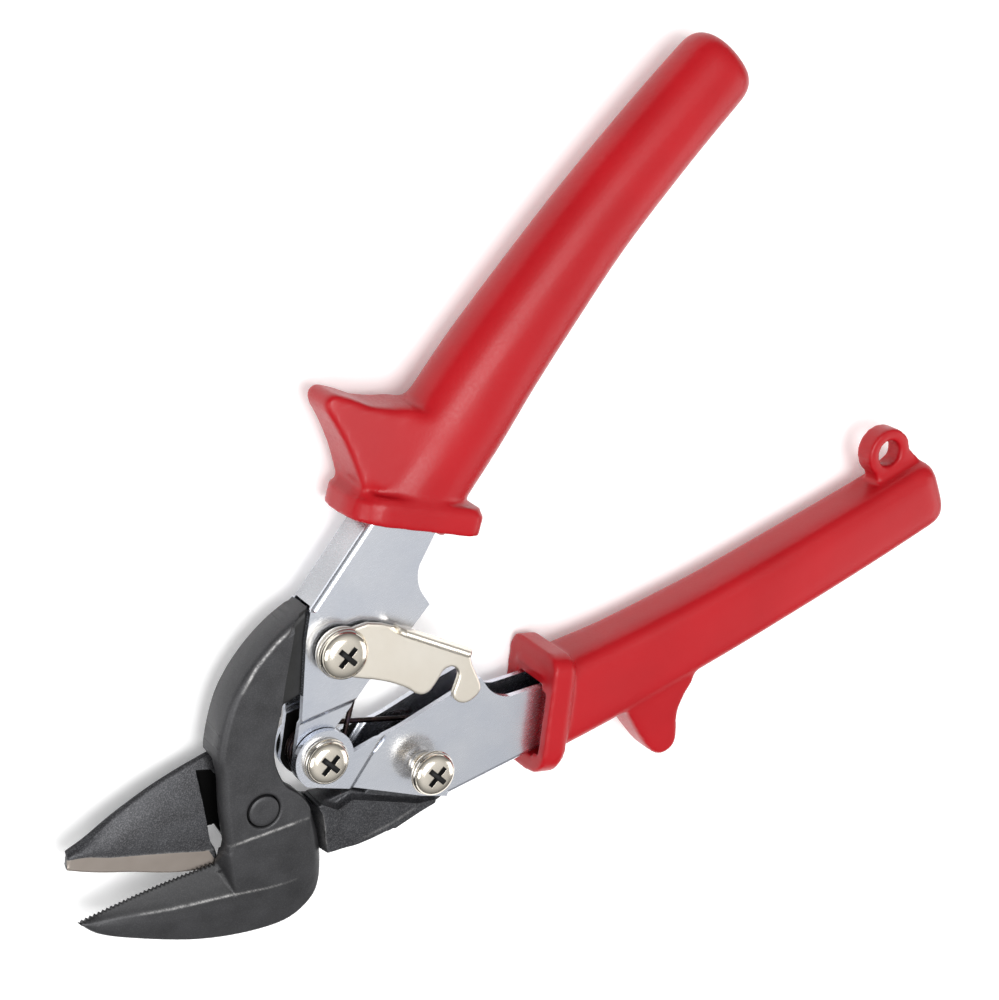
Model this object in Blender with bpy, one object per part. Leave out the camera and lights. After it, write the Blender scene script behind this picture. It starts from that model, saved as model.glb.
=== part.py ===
"""Aviation snips with compound-leverage handles, lying on their back, jaws and handles open.

Row frame: the origin is on the main pivot's axis, at the back face of its nut, where the snips lie.
+X runs from the jaws to the handles, +Y towards the upper handle, +Z out of the latch side.
Outlines are drawn in millimetres from the main pivot, heights from the middle of the handles' channels.
"""

import math

import bmesh
import bpy
from mathutils import Matrix, Vector

MM = 0.001
GAP = 0.3  # clearance between pieces that touch

# Linkage: the two tangs and the two handles make a kite that opens and closes.
TANG_ARM = 38.4  # main pivot to either tang screw
HANDLE_ARM = 25.3  # handle pivot to either tang screw
TANG_OPEN = 30.0  # angle of each tang off the centre line at rest, in degrees
HANDLE_TRAVEL = 31.1  # angle that the handles close by, in degrees

# Thicknesses, as heights above the middle plane.
REST_HEIGHT = 10.2  # middle plane above the surface that the snips lie on
CHANNEL_HALF = 4.9  # outside of the handles' flanges
SHEET = 1.4  # thickness of the handles' sheet steel
JOGGLE = 0.85  # sideways step of the flanges at the handle pivot
BLADE = 5.0  # face of a blade
TANG_HALF = CHANNEL_HALF - SHEET - GAP  # the tang that goes between the flanges
SHEAR_GAP = 0.15  # each blade's inner face off the shear plane

EAR_RADIUS = 6.9
SCREW_RADIUS = 2.4
HEAD_RADIUS = 5.2
TANG_HEAD_RADIUS = 5.7  # the upper tang screw's head, over the latch
HEAD_HEIGHT = 2.9
CROSS_HALF = (2.4, 0.5)  # half length and half width of a cross recess
CROSS_DEPTH = 1.5
STUD_RADIUS = 2.0
STUD_HEAD_BASE = 9.0
PIVOT_RADIUS = 3.5
LATCH_BASE = 6.0
LATCH_SHEET = 1.5
LATCH_END = 6.0  # radius round the latch's screw
LATCH_REACH = 28.35  # from the latch's screw to its slot's end
LATCH_SLOT = 2.4
TAB_RISE = 3.2
LATCH_PARKED = -56.0  # direction of the parked latch, in degrees
NUT_FLATS = 8.0
NUT_HEIGHT = 3.6
WASHER_HEIGHT = 0.6

STEEL = {"metallic": 1.0, "roughness": 0.25}
BLACK = {"metallic": 0.6, "roughness": 0.5}
PLASTIC = {"metallic": 0.0, "roughness": 0.4}


def on_circle(radius, degrees, centre=(0.0, 0.0)):
    angle = math.radians(degrees)
    return (centre[0] + radius * math.cos(angle), centre[1] + radius * math.sin(angle))


MAIN_PIVOT = (0.0, 0.0)
UPPER_TANG = on_circle(TANG_ARM, TANG_OPEN)
LOWER_TANG = on_circle(TANG_ARM, -TANG_OPEN)
HANDLE_PIVOT = (UPPER_TANG[0] - math.sqrt(HANDLE_ARM**2 - UPPER_TANG[1] ** 2), 0.0)


# ---------------------------------------------------------------- outlines


def arc(centre, radius, start, end, steps=8):
    """Points of an arc, from one angle to the other in degrees."""
    return [on_circle(radius, start + (end - start) * k / steps, centre) for k in range(steps + 1)]


def circle(centre, radius, sides=24):
    return [on_circle(radius, 360 * k / sides, centre) for k in range(sides)]


def mirrored(points):
    """The outline on the other side of the centre line, still counter-clockwise."""
    return [(x, -y) for x, y in reversed(points)]


def smooth(points, steps=3):
    """A smooth open curve through its points, as a Catmull-Rom spline."""
    ends = [points[0], *points, points[-1]]
    found = []
    for a, b, c, d in zip(ends, ends[1:], ends[2:], ends[3:]):
        for k in range(steps):
            t = k / steps
            found.append(tuple(spline(p, q, r, s, t) for p, q, r, s in zip(a, b, c, d)))
    return [*found, points[-1]]


def spline(p, q, r, s, t):
    """A Catmull-Rom curve's value between q and r."""
    bend = (2 * p - 5 * q + 4 * r - s) * t * t
    return 0.5 * (2 * q + (r - p) * t + bend + (3 * q - p - 3 * r + s) * t**3)


def rounded(corners, steps=4):
    """A closed outline whose corners (x, y, radius) are filleted."""
    found = []
    behind = corners[-1:] + corners[:-1]
    beyond = corners[1:] + corners[:1]
    for before, (x, y, radius), after in zip(behind, corners, beyond):
        corner = Vector((x, y))
        back = (Vector(before[:2]) - corner).normalized()
        ahead = (Vector(after[:2]) - corner).normalized()
        if radius <= 0:
            found.append((x, y))
            continue
        half = back.angle(ahead) / 2
        reach = radius / math.tan(half)
        middle = corner + (back + ahead).normalized() * radius / math.sin(half)
        start = corner + back * reach - middle
        turn = start.angle_signed(corner + ahead * reach - middle)
        for k in range(steps + 1):
            spoke = start.copy()
            spoke.rotate(Matrix.Rotation(-turn * k / steps, 2))
            found.append(tuple(middle + spoke))
    return found


# ---------------------------------------------------------------- solids


def prism(outline, low, high, holes=()):
    """A flat plate between two heights, with holes through it."""
    mesh = bmesh.new()
    edges = []
    for loop in (outline, *holes):
        verts = [mesh.verts.new((x, y, low)) for x, y in loop]
        edges += [mesh.edges.new(pair) for pair in zip(verts, verts[1:] + verts[:1])]
    bmesh.ops.triangle_fill(mesh, use_beauty=True, edges=edges)
    raised = bmesh.ops.extrude_face_region(mesh, geom=mesh.faces[:])["geom"]
    top = [item for item in raised if isinstance(item, bmesh.types.BMVert)]
    bmesh.ops.translate(mesh, verts=top, vec=(0, 0, high - low))
    bmesh.ops.recalc_face_normals(mesh, faces=mesh.faces[:])
    return mesh


def turned(profile, centre, sides=24):
    """A solid of revolution about a vertical axis. The profile is (radius, height), from bottom to top."""
    mesh = bmesh.new()
    rings = []
    for radius, height in profile:
        rings.append([mesh.verts.new((x, y, height)) for x, y in circle(centre, radius, sides)])
    closed = profile[0] == profile[-1]
    if closed:
        bmesh.ops.delete(mesh, geom=rings.pop(), context="VERTS")
    pairs = list(zip(rings, rings[1:] + rings[:1])) if closed else list(zip(rings, rings[1:]))
    for lower, upper in pairs:
        for k in range(sides):
            n = (k + 1) % sides
            mesh.faces.new((lower[k], lower[n], upper[n], upper[k]))
    if not closed:
        mesh.faces.new(list(reversed(rings[0])))
        mesh.faces.new(rings[-1])
    bmesh.ops.recalc_face_normals(mesh, faces=mesh.faces[:])
    return mesh


def loft(sections):
    """A solid through rings of the same number of points, closed at both ends."""
    mesh = bmesh.new()
    rings = [[mesh.verts.new(point) for point in ring] for ring in sections]
    count = len(rings[0])
    for lower, upper in zip(rings, rings[1:]):
        for k in range(count):
            n = (k + 1) % count
            mesh.faces.new((lower[k], lower[n], upper[n], upper[k]))
    mesh.faces.new(list(reversed(rings[0])))
    mesh.faces.new(rings[-1])
    bmesh.ops.recalc_face_normals(mesh, faces=mesh.faces[:])
    return mesh


def relief(regions, bottom):
    """A plate with a modelled top, in regions of (x, y, z) points that share their borders."""
    mesh = bmesh.new()
    known = {}
    for region in regions:
        verts = []
        for x, y, z in region:
            key = (round(x, 4), round(y, 4))
            if key not in known:
                known[key] = mesh.verts.new((x, y, z))
            if known[key] not in verts:
                verts.append(known[key])
        mesh.faces.new(verts)
    bmesh.ops.recalc_face_normals(mesh, faces=mesh.faces[:])
    if sum(face.normal.z for face in mesh.faces) < 0:
        bmesh.ops.reverse_faces(mesh, faces=mesh.faces[:])
    bmesh.ops.triangulate(mesh, faces=mesh.faces[:])
    border = [edge for edge in mesh.edges if edge.is_boundary]
    walls = bmesh.ops.extrude_edge_only(mesh, edges=border)["geom"]
    foot = [item for item in walls if isinstance(item, bmesh.types.BMVert)]
    for vert in foot:
        vert.co.z = bottom
    rim = [item for item in walls if isinstance(item, bmesh.types.BMEdge)]
    bmesh.ops.triangle_fill(mesh, use_beauty=True, edges=rim)
    bmesh.ops.recalc_face_normals(mesh, faces=mesh.faces[:])
    return mesh


def tube_along(path, radius, sides=8):
    """A round wire along a path, with flat ends."""
    sections = []
    for k, point in enumerate(path):
        ahead = Vector(path[min(k + 1, len(path) - 1)]) - Vector(path[max(k - 1, 0)])
        side = ahead.cross(Vector((0, 0, 1))).normalized()
        up = side.cross(ahead).normalized()
        ring = []
        for n in range(sides):
            angle = 2 * math.pi * n / sides
            ring.append(Vector(point) + radius * (math.cos(angle) * side + math.sin(angle) * up))
        sections.append(ring)
    return loft(sections)


def grip_section(centre, direction, half_width, half_height, power=2.6, sides=20):
    """A rounded section across a grip whose axis points in the given direction, in degrees."""
    angle = math.radians(direction)
    across = Vector((-math.sin(angle), math.cos(angle), 0))
    ring = []
    for k in range(sides):
        turn = 2 * math.pi * k / sides
        c, s = math.cos(turn), math.sin(turn)
        w = half_width * math.copysign(abs(c) ** (2 / power), c)
        h = half_height * math.copysign(abs(s) ** (2 / power), s)
        ring.append(Vector((centre[0], centre[1], 0)) + across * w + Vector((0, 0, h)))
    return ring


def grip_body(stations, power):
    """A grip lofted along (x, y, half width, half height), with a domed end."""
    points = [Vector(station[:2]) for station in stations]
    sections = []
    for k, (x, y, width, height) in enumerate(stations):
        ahead = points[min(k + 1, len(points) - 1)] - points[max(k - 1, 0)]
        direction = math.degrees(math.atan2(ahead.y, ahead.x))
        sections.append(grip_section((x, y), direction, width, height, power))
    x, y, width, height = stations[-1]
    unit = ahead.normalized()
    for reach, share in ((2.6, 0.93), (4.6, 0.78), (6.0, 0.5), (6.5, 0.2)):
        centre = (x + unit.x * reach, y + unit.y * reach)
        sections.append(grip_section(centre, direction, width * share, height * share, power))
    return loft(sections)


# ---------------------------------------------------------------- scene


def clear_scene():
    for item in list(bpy.data.objects):
        bpy.data.objects.remove(item, do_unlink=True)


def make_material(name, colour, metallic, roughness):
    made = bpy.data.materials.new(name)
    made.use_nodes = True
    shader = made.node_tree.nodes["Principled BSDF"]
    shader.inputs["Base Color"].default_value = (*colour, 1.0)
    shader.inputs["Metallic"].default_value = metallic
    shader.inputs["Roughness"].default_value = roughness
    return made


def pivot_frame(name, point, parent=None):
    """An empty on a pivot's axis, at the middle plane."""
    empty = bpy.data.objects.new(name, None)
    bpy.context.scene.collection.objects.link(empty)
    empty.location = Vector((point[0], point[1], REST_HEIGHT)) * MM
    if parent:
        empty.parent = parent
        empty.location -= parent.matrix_world.translation
    bpy.context.view_layer.update()
    return empty


def place(name, mesh, frame, material=None):
    """Turns a bmesh in millimetres into an object under its pivot frame."""
    origin = frame.matrix_world.translation
    bmesh.ops.scale(mesh, vec=(MM, MM, MM), verts=mesh.verts[:])
    bmesh.ops.translate(mesh, verts=mesh.verts[:], vec=(-origin.x, -origin.y, 0))
    data = bpy.data.meshes.new(name)
    mesh.to_mesh(data)
    mesh.free()
    made = bpy.data.objects.new(name, data)
    bpy.context.scene.collection.objects.link(made)
    made.parent = frame
    if material:
        data.materials.append(material)
        data.shade_smooth()
        data.set_sharp_from_angle(angle=math.radians(35))
    else:
        made.hide_render = True
        made.display_type = "WIRE"
    return made


def combine(target, operation, name, mesh):
    """Adds a shape to an object, or cuts it away, with a Boolean."""
    helper = place(name, mesh, target.parent)
    boolean = target.modifiers.new(name, "BOOLEAN")
    boolean.operation = operation
    boolean.solver = "EXACT"
    boolean.object = helper
    return boolean


# ---------------------------------------------------------------- blades

# The lower jaw's blade lies in front of the shear plane. Its outline runs along the cutting edge, the belly
# and the waist beside the handle pivot, then round its tang.
EDGE_NOTCH = (-14.6, -4.6)
JAW_TIP = (-43.9, 7.4)
CUTTING_EDGE_HEIGHT = 0.7
BELLY = [JAW_TIP, (-42.6, 2.4), (-38.4, -4.0), (-29.5, -14.8), (-20.7, -22.6), (-11.6, -28.0)]
BELLY += [(-4.6, -28.4), (-0.1, -25.8), (4.0, -20.0), (6.4, -14.9), (7.7, -10.8)]
BELLY_HEIGHTS = (1.4, 2.6)
CREASE = [(-43.0, 7.1, 1.2), (-40.0, 4.4, 1.7), (-36.0, 1.6, 2.2), (-28.5, -3.9, 3.2), (-16.0, -12.0, 4.0)]
CREASE += [(-9.5, -16.7, 4.1), (-3.4, -20.0, 4.2), (0.6, -19.3, 4.3), (3.4, -16.2, 4.5), (5.2, -12.6, 4.8)]
CREASE += [(7.8, -8.9, BLADE)]
SHOULDER = (-10.5, -0.5)
TANG_OUTER = [(-2.9, 12.9), (-0.4, 17.9), (6.8, 24.7), (13.0, 28.2), (20.0, 30.4), (27.0, 31.3), (33.7, 31.0)]
TANG_INNER = [(29.3, 30.4), (25.7, 26.6), (21.0, 21.9), (17.0, 17.6), (14.6, 14.8)]
WAIST = [(12.0, 12.4), (9.3, 9.2), (7.7, 5.5), (7.1, 1.0), (8.2, -2.8), (8.3, -6.2), CREASE[-1][:2]]
LUG_NECK = [(14.8, 15.2), (17.5, 15.9), (22.0, 15.0)]
LUG_TIP = [(33.7, 28.4), (33.7, 31.0), (27.5, 30.4), (20.0, 29.0), (12.5, 20.0)]
LUG_RADIUS = 7.6
STUD_ROOM = 0.6  # play round both tang screws, which lets the linkage close


def tang_lug(flip):
    """The part of a tang that goes between the flanges, round its screw."""
    outline = [*LUG_NECK, *arc(UPPER_TANG, LUG_RADIUS, -100, 65, 9), *LUG_TIP]
    hole = circle(UPPER_TANG, SCREW_RADIUS + STUD_ROOM, 20)
    if flip:
        return prism(mirrored(outline), -TANG_HALF, TANG_HALF, [mirrored(hole)])
    return prism(outline, -TANG_HALF, TANG_HALF, [hole])


def lower_jaw_blade(frame, material):
    edge = [(*point, CUTTING_EDGE_HEIGHT) for point in smooth([EDGE_NOTCH, (-28.1, 1.5), JAW_TIP], 3)]
    low, high = BELLY_HEIGHTS
    belly = [(*point, low + (high - low) * k / len(BELLY)) for k, point in enumerate(BELLY)]
    belly[0] = edge[-1]
    level = [(*point, BLADE) for point in (SHOULDER, *TANG_OUTER, *TANG_INNER, *WAIST)]
    facet = [edge[0], level[0], *reversed(CREASE[4:])]
    rake = [edge[0], CREASE[4], *reversed(CREASE[:4]), *reversed(edge[1:])]
    flank = [[a, b, d, c] for a, b, c, d in zip(belly, belly[1:], CREASE, CREASE[1:])]
    blade = place("lower_jaw_blade", relief([level, facet, rake, *flank], SHEAR_GAP), frame, material)
    back_step = [(9.6, 12.6), (3.2, 14.9), (-0.9, 16.6)]
    outer = [(x * 0.995, y - 0.2) for x, y in TANG_OUTER[1:]]
    inner = [(x - 0.1, y - 0.1) for x, y in TANG_INNER]
    root = prism([*back_step, *outer, *inner, (12.4, 12.9)], -BLADE + 0.1, BLADE - 0.1)
    combine(blade, "UNION", "lower_blade_root", root)
    combine(blade, "UNION", "lower_blade_lug", tang_lug(False))
    combine(blade, "DIFFERENCE", "lower_blade_bore", prism(circle(MAIN_PIVOT, PIVOT_RADIUS + GAP), -2, 8))
    return blade


# The upper jaw's blade lies behind the shear plane: a ground land along its edge, and a flank above it.
UPPER_EDGE = [(-37.6, 18.6), (-35.9, 15.0), (-33.0, 11.6), (-29.2, 7.6), (-21.9, -0.6), (-14.4, -6.6)]
LAND_TOP = [(-36.6, 20.6), (-33.8, 17.6), (-30.2, 13.6), (-25.5, 9.2), (-19.6, 3.6), (-14.0, -1.7)]
FLANK_TOP = [(-35.6, 20.9), (-31.4, 20.6), (-24.6, 20.4), (-16.0, 19.2), (-9.0, 17.6), (-2.6, 15.6)]
UPPER_ROOT = [(-14.0, -5.6), (-9.5, -9.6), (-4.0, -14.4), (2.0, -18.6), (7.9, -21.8), (11.5, -24.0)]
UPPER_ROOT += [(17.9, -26.5), (24.7, -28.2), (30.4, -29.6), (31.0, -29.0)]
PANEL_INNER = [(27.2, -26.4), (16.4, -13.6), (12.4, -12.9)]
PANEL_STEP = [(10.4, -9.0), (9.5, -9.0), (9.2, -11.2), (7.8, -14.2), (6.2, -17.0), (4.9, -19.8)]
RECESS_TOP = [(17.6, -12.4), (15.2, -11.3), (12.6, -10.4), (10.4, -8.8)]
MIRRORED_WAIST = [(12.2, -12.6), (9.3, -9.2), (7.7, -5.5), (7.1, -1.0), (8.2, 2.8), (8.2, 6.6)]
NECK_TOP = [(7.0, 9.2), (2.6, 13.4), (-3.2, 15.3), (-8.2, 10.0)]
GROOVE = [(-13.6, -6.5), (-10.4, 0.4), (-2.6, 13.2), (-4.9, 16.5), (-13.4, -0.2)]
THROAT = [(-10.2, -8.4), (-9.4, 0.4), (-10.9, 1.2), (-12.6, -2.1), (-13.5, -4.9), (-13.3, -8.4)]
GROOVE_DEPTH = 2.6


def upper_jaw_sections():
    """Rings across the upper jaw from its tip to its root: edge, land, flank crown, flank top, back."""
    sections = []
    for k, (edge, land, top) in enumerate(zip(UPPER_EDGE, LAND_TOP, FLANK_TOP)):
        share = k / (len(UPPER_EDGE) - 1)
        crown = [0.45 * a + 0.55 * b for a, b in zip(land, top)]
        back = [0.8 * a + 0.2 * b for a, b in zip(edge, top)]
        depth = BLADE * (0.45 + 0.55 * share)
        ring = [
            (*edge, -SHEAR_GAP),
            (*land, -SHEAR_GAP),
            (*crown, -0.9 - 0.8 * share),
            (*top, -0.75 * depth),
            (*top, -depth),
            (*back, -depth),
        ]
        sections.append([Vector(point) for point in ring])
    return sections


def upper_jaw_blade(frame, material):
    blade = place("upper_jaw_blade", loft(upper_jaw_sections()), frame, material)
    plate = [*UPPER_ROOT, *PANEL_INNER[:-1], *MIRRORED_WAIST, *NECK_TOP]
    combine(blade, "UNION", "upper_blade_plate", prism(plate, -BLADE + 0.1, -SHEAR_GAP))
    combine(blade, "DIFFERENCE", "upper_blade_groove", prism(GROOVE, -GROOVE_DEPTH, 2.0))
    combine(blade, "DIFFERENCE", "upper_blade_throat", prism(THROAT, -8, 2))
    panel = [*UPPER_ROOT[4:], *PANEL_INNER, *PANEL_STEP]
    combine(blade, "UNION", "upper_blade_panel", prism(panel, -1.0, BLADE - 0.1))
    recess = [(16.0, -24.0), (27.0, -27.0), *RECESS_TOP, (9.7, -10.0), (8.8, -14.2)]
    combine(blade, "UNION", "upper_blade_recess", prism(recess, -1.1, TANG_HALF))
    combine(blade, "UNION", "upper_blade_lug", tang_lug(True))
    combine(blade, "DIFFERENCE", "upper_blade_bore", prism(circle(MAIN_PIVOT, PIVOT_RADIUS + GAP), -8, 2))
    return blade


# ---------------------------------------------------------------- handles

# The upper handle's flange, counter-clockwise from the front of its web. The lower one is its mirror image.
WEB_FRONT = (34.0, 30.6)
WEB_LINE = [(60.0, 39.4), (84.0, 44.6), (110.0, 51.0)]
FLANGE_FRONT = [(33.4, 30.4), (29.0, 25.6), (18.2, 11.2)]
FLANGE_BACK = [(110.0, 43.0), (84.0, 33.5), (75.0, 29.5), (66.0, 25.4)]
FLANGE_BACK += [*arc((63.5, 14.9), 8.3, 128, 178, 5), (55.2, 12.0), (47.5, 10.0), (34.2, 7.3)]


def handle_channel(name, frame, material, flip):
    """A bent sheet-steel channel: two flanges, a web along its outer side and an ear at the handle pivot."""
    x, y = HANDLE_PIVOT
    side = mirrored if flip else list
    ear_shift = JOGGLE if flip else -JOGGLE
    flange = [*FLANGE_FRONT, (29.8, 5.9), (34.2, 7.3), *reversed(FLANGE_BACK[:-1])]
    flange += [*reversed(WEB_LINE), WEB_FRONT]
    block = prism(side(list(reversed(flange))), -CHANNEL_HALF, CHANNEL_HALF)
    channel = place(name, block, frame, material)
    web_inner = [(x, y - SHEET * 1.05) for x, y in WEB_LINE]
    hollow = [(10.0, 2.0), (60.0, -4.0), (120.0, 20.0), (112.0, web_inner[-1][1]), *reversed(web_inner)]
    hollow += [(34.6, 29.4), (33.7, 34.0), (20.0, 34.0)]
    inside = CHANNEL_HALF - SHEET
    combine(channel, "DIFFERENCE", name + "_hollow", prism(side(hollow), -inside, inside))
    ear = [*arc((x, y), EAR_RADIUS, 160, 390, 16), (28.6, 4.6), (30.4, 5.6), (29.9, 6.9), (18.4, 11.6)]
    bore = circle((x, y), SCREW_RADIUS + GAP, 20)
    for word, low in (("front", inside), ("back", -CHANNEL_HALF)):
        shift = ear_shift if low > 0 else -ear_shift
        plate = prism(side(ear), low + shift, low + shift + SHEET, [side(bore)])
        combine(channel, "UNION", name + "_ear_" + word, plate)
    tang = LOWER_TANG if flip else UPPER_TANG
    combine(channel, "DIFFERENCE", name + "_bore", prism(circle(tang, SCREW_RADIUS + GAP, 20), -9, 9))
    return channel


# Stations along a grip: x, y, half width and half height.
UPPER_GRIP = [(62.0, 33.0, 12.6, 9.4), (70.0, 36.0, 12.2, 9.2), (84.0, 40.8, 12.0, 9.0)]
UPPER_GRIP += [(98.0, 45.8, 11.4, 8.8), (115.0, 51.1, 10.7, 8.4), (133.0, 56.3, 10.0, 8.0)]
UPPER_GRIP += [(155.0, 61.3, 9.6, 7.7), (174.4, 65.0, 9.3, 7.5)]
LOWER_GRIP = [(63.5, -31.6, 10.6, 8.4), (74.0, -35.4, 10.4, 8.0), (85.0, -39.2, 10.0, 7.6)]
LOWER_GRIP += [(101.5, -44.1, 9.6, 7.5), (115.0, -47.9, 9.4, 7.4), (137.0, -53.4, 9.2, 7.3)]
LOWER_GRIP += [(156.0, -58.0, 9.0, 7.2), (172.4, -61.6, 8.8, 7.1)]
GUARD_ANGLE = 40.0
GUARD_NEAR = -2.7  # towards the jaws from the guard's centre
GUARD_FAR = 2.2
UPPER_GUARD = (63.1, 33.0)
LOWER_GUARD = (63.3, -31.9)


def guard(flip, centre, reach, corners):
    """The collar at a grip's jaw end: a slab across the handle, from its inner reach to its outer one."""
    sides = ((0, -1), (1, -1), (1, 1), (0, 1))
    outline = rounded([(reach[k], sz * REST_HEIGHT, corners[k]) for k, sz in sides])
    if flip:
        outline = [(-x, y) for x, y in reversed(outline)]
    slab = prism(outline, GUARD_NEAR, GUARD_FAR)
    angle = math.radians(-GUARD_ANGLE if flip else GUARD_ANGLE)
    along = Vector((math.cos(angle), math.sin(angle), 0))
    up = Vector((0, 0, 1))
    turn = Matrix((up.cross(along), up, along)).transposed()
    bmesh.ops.rotate(slab, verts=slab.verts[:], cent=(0, 0, 0), matrix=turn)
    bmesh.ops.translate(slab, verts=slab.verts[:], vec=(*centre, 0))
    bmesh.ops.recalc_face_normals(slab, faces=slab.faces[:])
    return slab


def tapered_prism(outline, tip, ahead, thin, growth):
    """A plate whose half thickness grows steadily along a direction from its tip."""
    mesh = prism(outline, -1, 1)
    unit = Vector((*ahead, 0)).normalized()
    for vert in mesh.verts:
        reach = (vert.co - Vector((*tip, vert.co.z))).dot(unit)
        vert.co.z *= thin + growth * max(reach, 0)
    return mesh


def channel_pocket(flip):
    """The room that the channel takes inside its grip."""
    outer = [(50.0, 37.2), (60.0, 40.0), (84.0, 45.1), (110.6, 51.7)]
    inner = [(110.6, 42.5), (84.0, 33.0), (75.0, 29.0), (66.0, 24.9), (56.0, 17.0)]
    outline = list(reversed(outer + inner))
    half = CHANNEL_HALF + GAP
    return prism(mirrored(outline) if flip else outline, -half, half)


def upper_grip(frame, material):
    grip = place("upper_grip", grip_body(UPPER_GRIP, 2.2), frame, material)
    collar = guard(False, UPPER_GUARD, (-16.4, 15.6), (3.6, 7.5))
    combine(grip, "UNION", "upper_guard", collar)
    horn = [(57.0, 46.0), (58.8, 52.0), (59.8, 57.0), (60.3, 62.0), (60.4, 64.2), (61.2, 66.0), (62.6, 66.6)]
    horn += [(64.0, 66.2), (66.4, 62.9), (69.0, 58.6), (72.4, 55.4), (76.4, 52.6), (79.0, 46.0), (70.0, 34.0)]
    thumb_rest = tapered_prism(list(reversed(horn)), (62.0, 66.4), (0.3, -1.0), 5.0, 0.11)
    combine(grip, "UNION", "thumb_rest", thumb_rest)
    combine(grip, "DIFFERENCE", "upper_pocket", channel_pocket(False))
    return grip


LOOP_CENTRE = (170.5, -46.1)
LOOP_RADIUS = 6.2
LOOP_HOLE = 3.3


def lower_grip(frame, material):
    grip = place("lower_grip", grip_body(LOWER_GRIP, 3.0), frame, material)
    collar = guard(True, LOWER_GUARD, (-14.9, 14.7), (3.8, 6.5))
    combine(grip, "UNION", "lower_guard", collar)
    fin = [(79.4, -42.0), (78.6, -50.0), (78.6, -59.4), (79.6, -64.6), (81.8, -66.9), (84.8, -66.9)]
    fin += [(87.0, -64.4), (89.4, -59.4), (93.0, -56.2), (98.0, -53.0), (100.0, -45.0)]
    finger_stop = tapered_prism(fin, (83.4, -67.0), (0.2, 1.0), 3.4, 0.13)
    combine(grip, "UNION", "finger_stop", finger_stop)
    ring = [(177.4, -56.0), *arc(LOOP_CENTRE, LOOP_RADIUS, -30, 200, 16), (163.2, -54.0)]
    loop = prism(ring, -2.6, 2.6, [circle(LOOP_CENTRE, LOOP_HOLE, 20)])
    combine(grip, "UNION", "hang_loop", loop)
    combine(grip, "DIFFERENCE", "lower_pocket", channel_pocket(True))
    return grip


# ---------------------------------------------------------------- fasteners, latch and spring


def pan_head_screw(name, frame, material, centre, base, foot, head=HEAD_RADIUS, shank=SCREW_RADIUS):
    """A pan-head screw whose head sits at a height and whose shank ends at another."""
    crown = base + HEAD_HEIGHT
    profile = [
        (shank, foot),
        (shank, base),
        (head, base + 0.02),
        (head, base + 1.5),
        (head - 0.5, crown - 0.6),
        (head - 1.5, crown - 0.1),
        (1.6, crown),
    ]
    screw = place(name, turned(profile, centre), frame, material)
    long, short = CROSS_HALF
    x, y = centre
    cross = [(short, short), (short, long), (-short, long), (-short, short)]
    cross += [(-long, short), (-long, -short), (-short, -short), (-short, -long)]
    cross += [(short, -long), (short, -short), (long, -short), (long, short)]
    recess = prism([(x + a, y + b) for a, b in cross], crown - CROSS_DEPTH, crown + 1)
    combine(screw, "DIFFERENCE", name + "_recess", recess)
    return screw


def hex_nut(name, frame, material, centre, top, height=NUT_HEIGHT, flats=NUT_FLATS, bore=SCREW_RADIUS + GAP):
    radius = flats / math.sqrt(3)
    outline = [on_circle(radius, 60 * k + 30, centre) for k in range(6)]
    return place(name, prism(outline, top - height, top, [circle(centre, bore, 20)]), frame, material)


def washer(name, frame, material, centre, top, height, outer, bore):
    profile = [(bore, top - height), (outer, top - height), (outer, top), (bore, top), (bore, top - height)]
    return place(name, turned(profile, centre), frame, material)


def latch_plate(frame, material):
    """The latch: a round end on the upper tang screw, a hook for the lower stud and a folded thumb tab."""
    x, y = UPPER_TANG
    direction = math.radians(LATCH_PARKED)

    def spot(along, across):
        return (
            x + along * math.cos(direction) - across * math.sin(direction),
            y + along * math.sin(direction) + across * math.cos(direction),
        )

    round_end = [spot(*on_circle(LATCH_END, angle)) for angle in range(80, 301, 20)]
    slot = [on_circle(LATCH_SLOT, angle) for angle in range(180, -1, -30)]
    slot_end = [spot(LATCH_REACH + across, along) for across, along in slot]
    belly = [(7.0, -4.6), (14.7, -4.1), (18.8, -4.5), (21.4, -5.2), (23.3, -5.2), (24.7, -4.2), (25.5, -2.2)]
    hook = [(30.8, -1.4), (30.9, -3.4), (31.7, -4.6), (33.4, -5.2), (35.3, -4.8), (36.9, -3.1), (37.4, -1.3)]
    hook += [(36.6, 0.3), (34.6, 2.2), (32.8, 4.0), (31.4, 5.8), (30.4, 7.0)]
    hook += [(22.0, 7.6), (12.0, 8.2), (3.6, 7.0)]
    outline = [*round_end, *[spot(*point) for point in belly], *slot_end, *[spot(*point) for point in hook]]
    bore = circle((x, y), SCREW_RADIUS + GAP, 20)
    top = LATCH_BASE + LATCH_SHEET
    plate = prism(outline, LATCH_BASE, top, [bore])
    latch = place("latch_plate", plate, frame, material)
    tab_outline = [spot(10.4, 7.0), spot(30.4, 5.6), spot(30.4, 7.35), spot(10.4, 8.75)]
    tab = prism(tab_outline, LATCH_BASE + GAP, top + TAB_RISE)
    combine(latch, "UNION", "thumb_tab", tab)
    return latch


COIL_RADIUS = 5.5
COIL_TURNS = 3
COIL_HALF = 1.9
WIRE = 0.6
BUSH_RADIUS = 3.3
LEG_LENGTH = 26.0
LEG_ROOM = LUG_RADIUS + GAP + WIRE  # where a leg bears on a tang's lug, off the tang screw


def leg_direction():
    """Direction of the lower leg, in degrees: straight off the coil, to bear on the lower tang's lug."""
    x, y = LOWER_TANG[0] - HANDLE_PIVOT[0], LOWER_TANG[1]
    return math.degrees(math.atan2(y, x) + math.asin((LEG_ROOM - COIL_RADIUS) / HANDLE_ARM))


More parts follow.
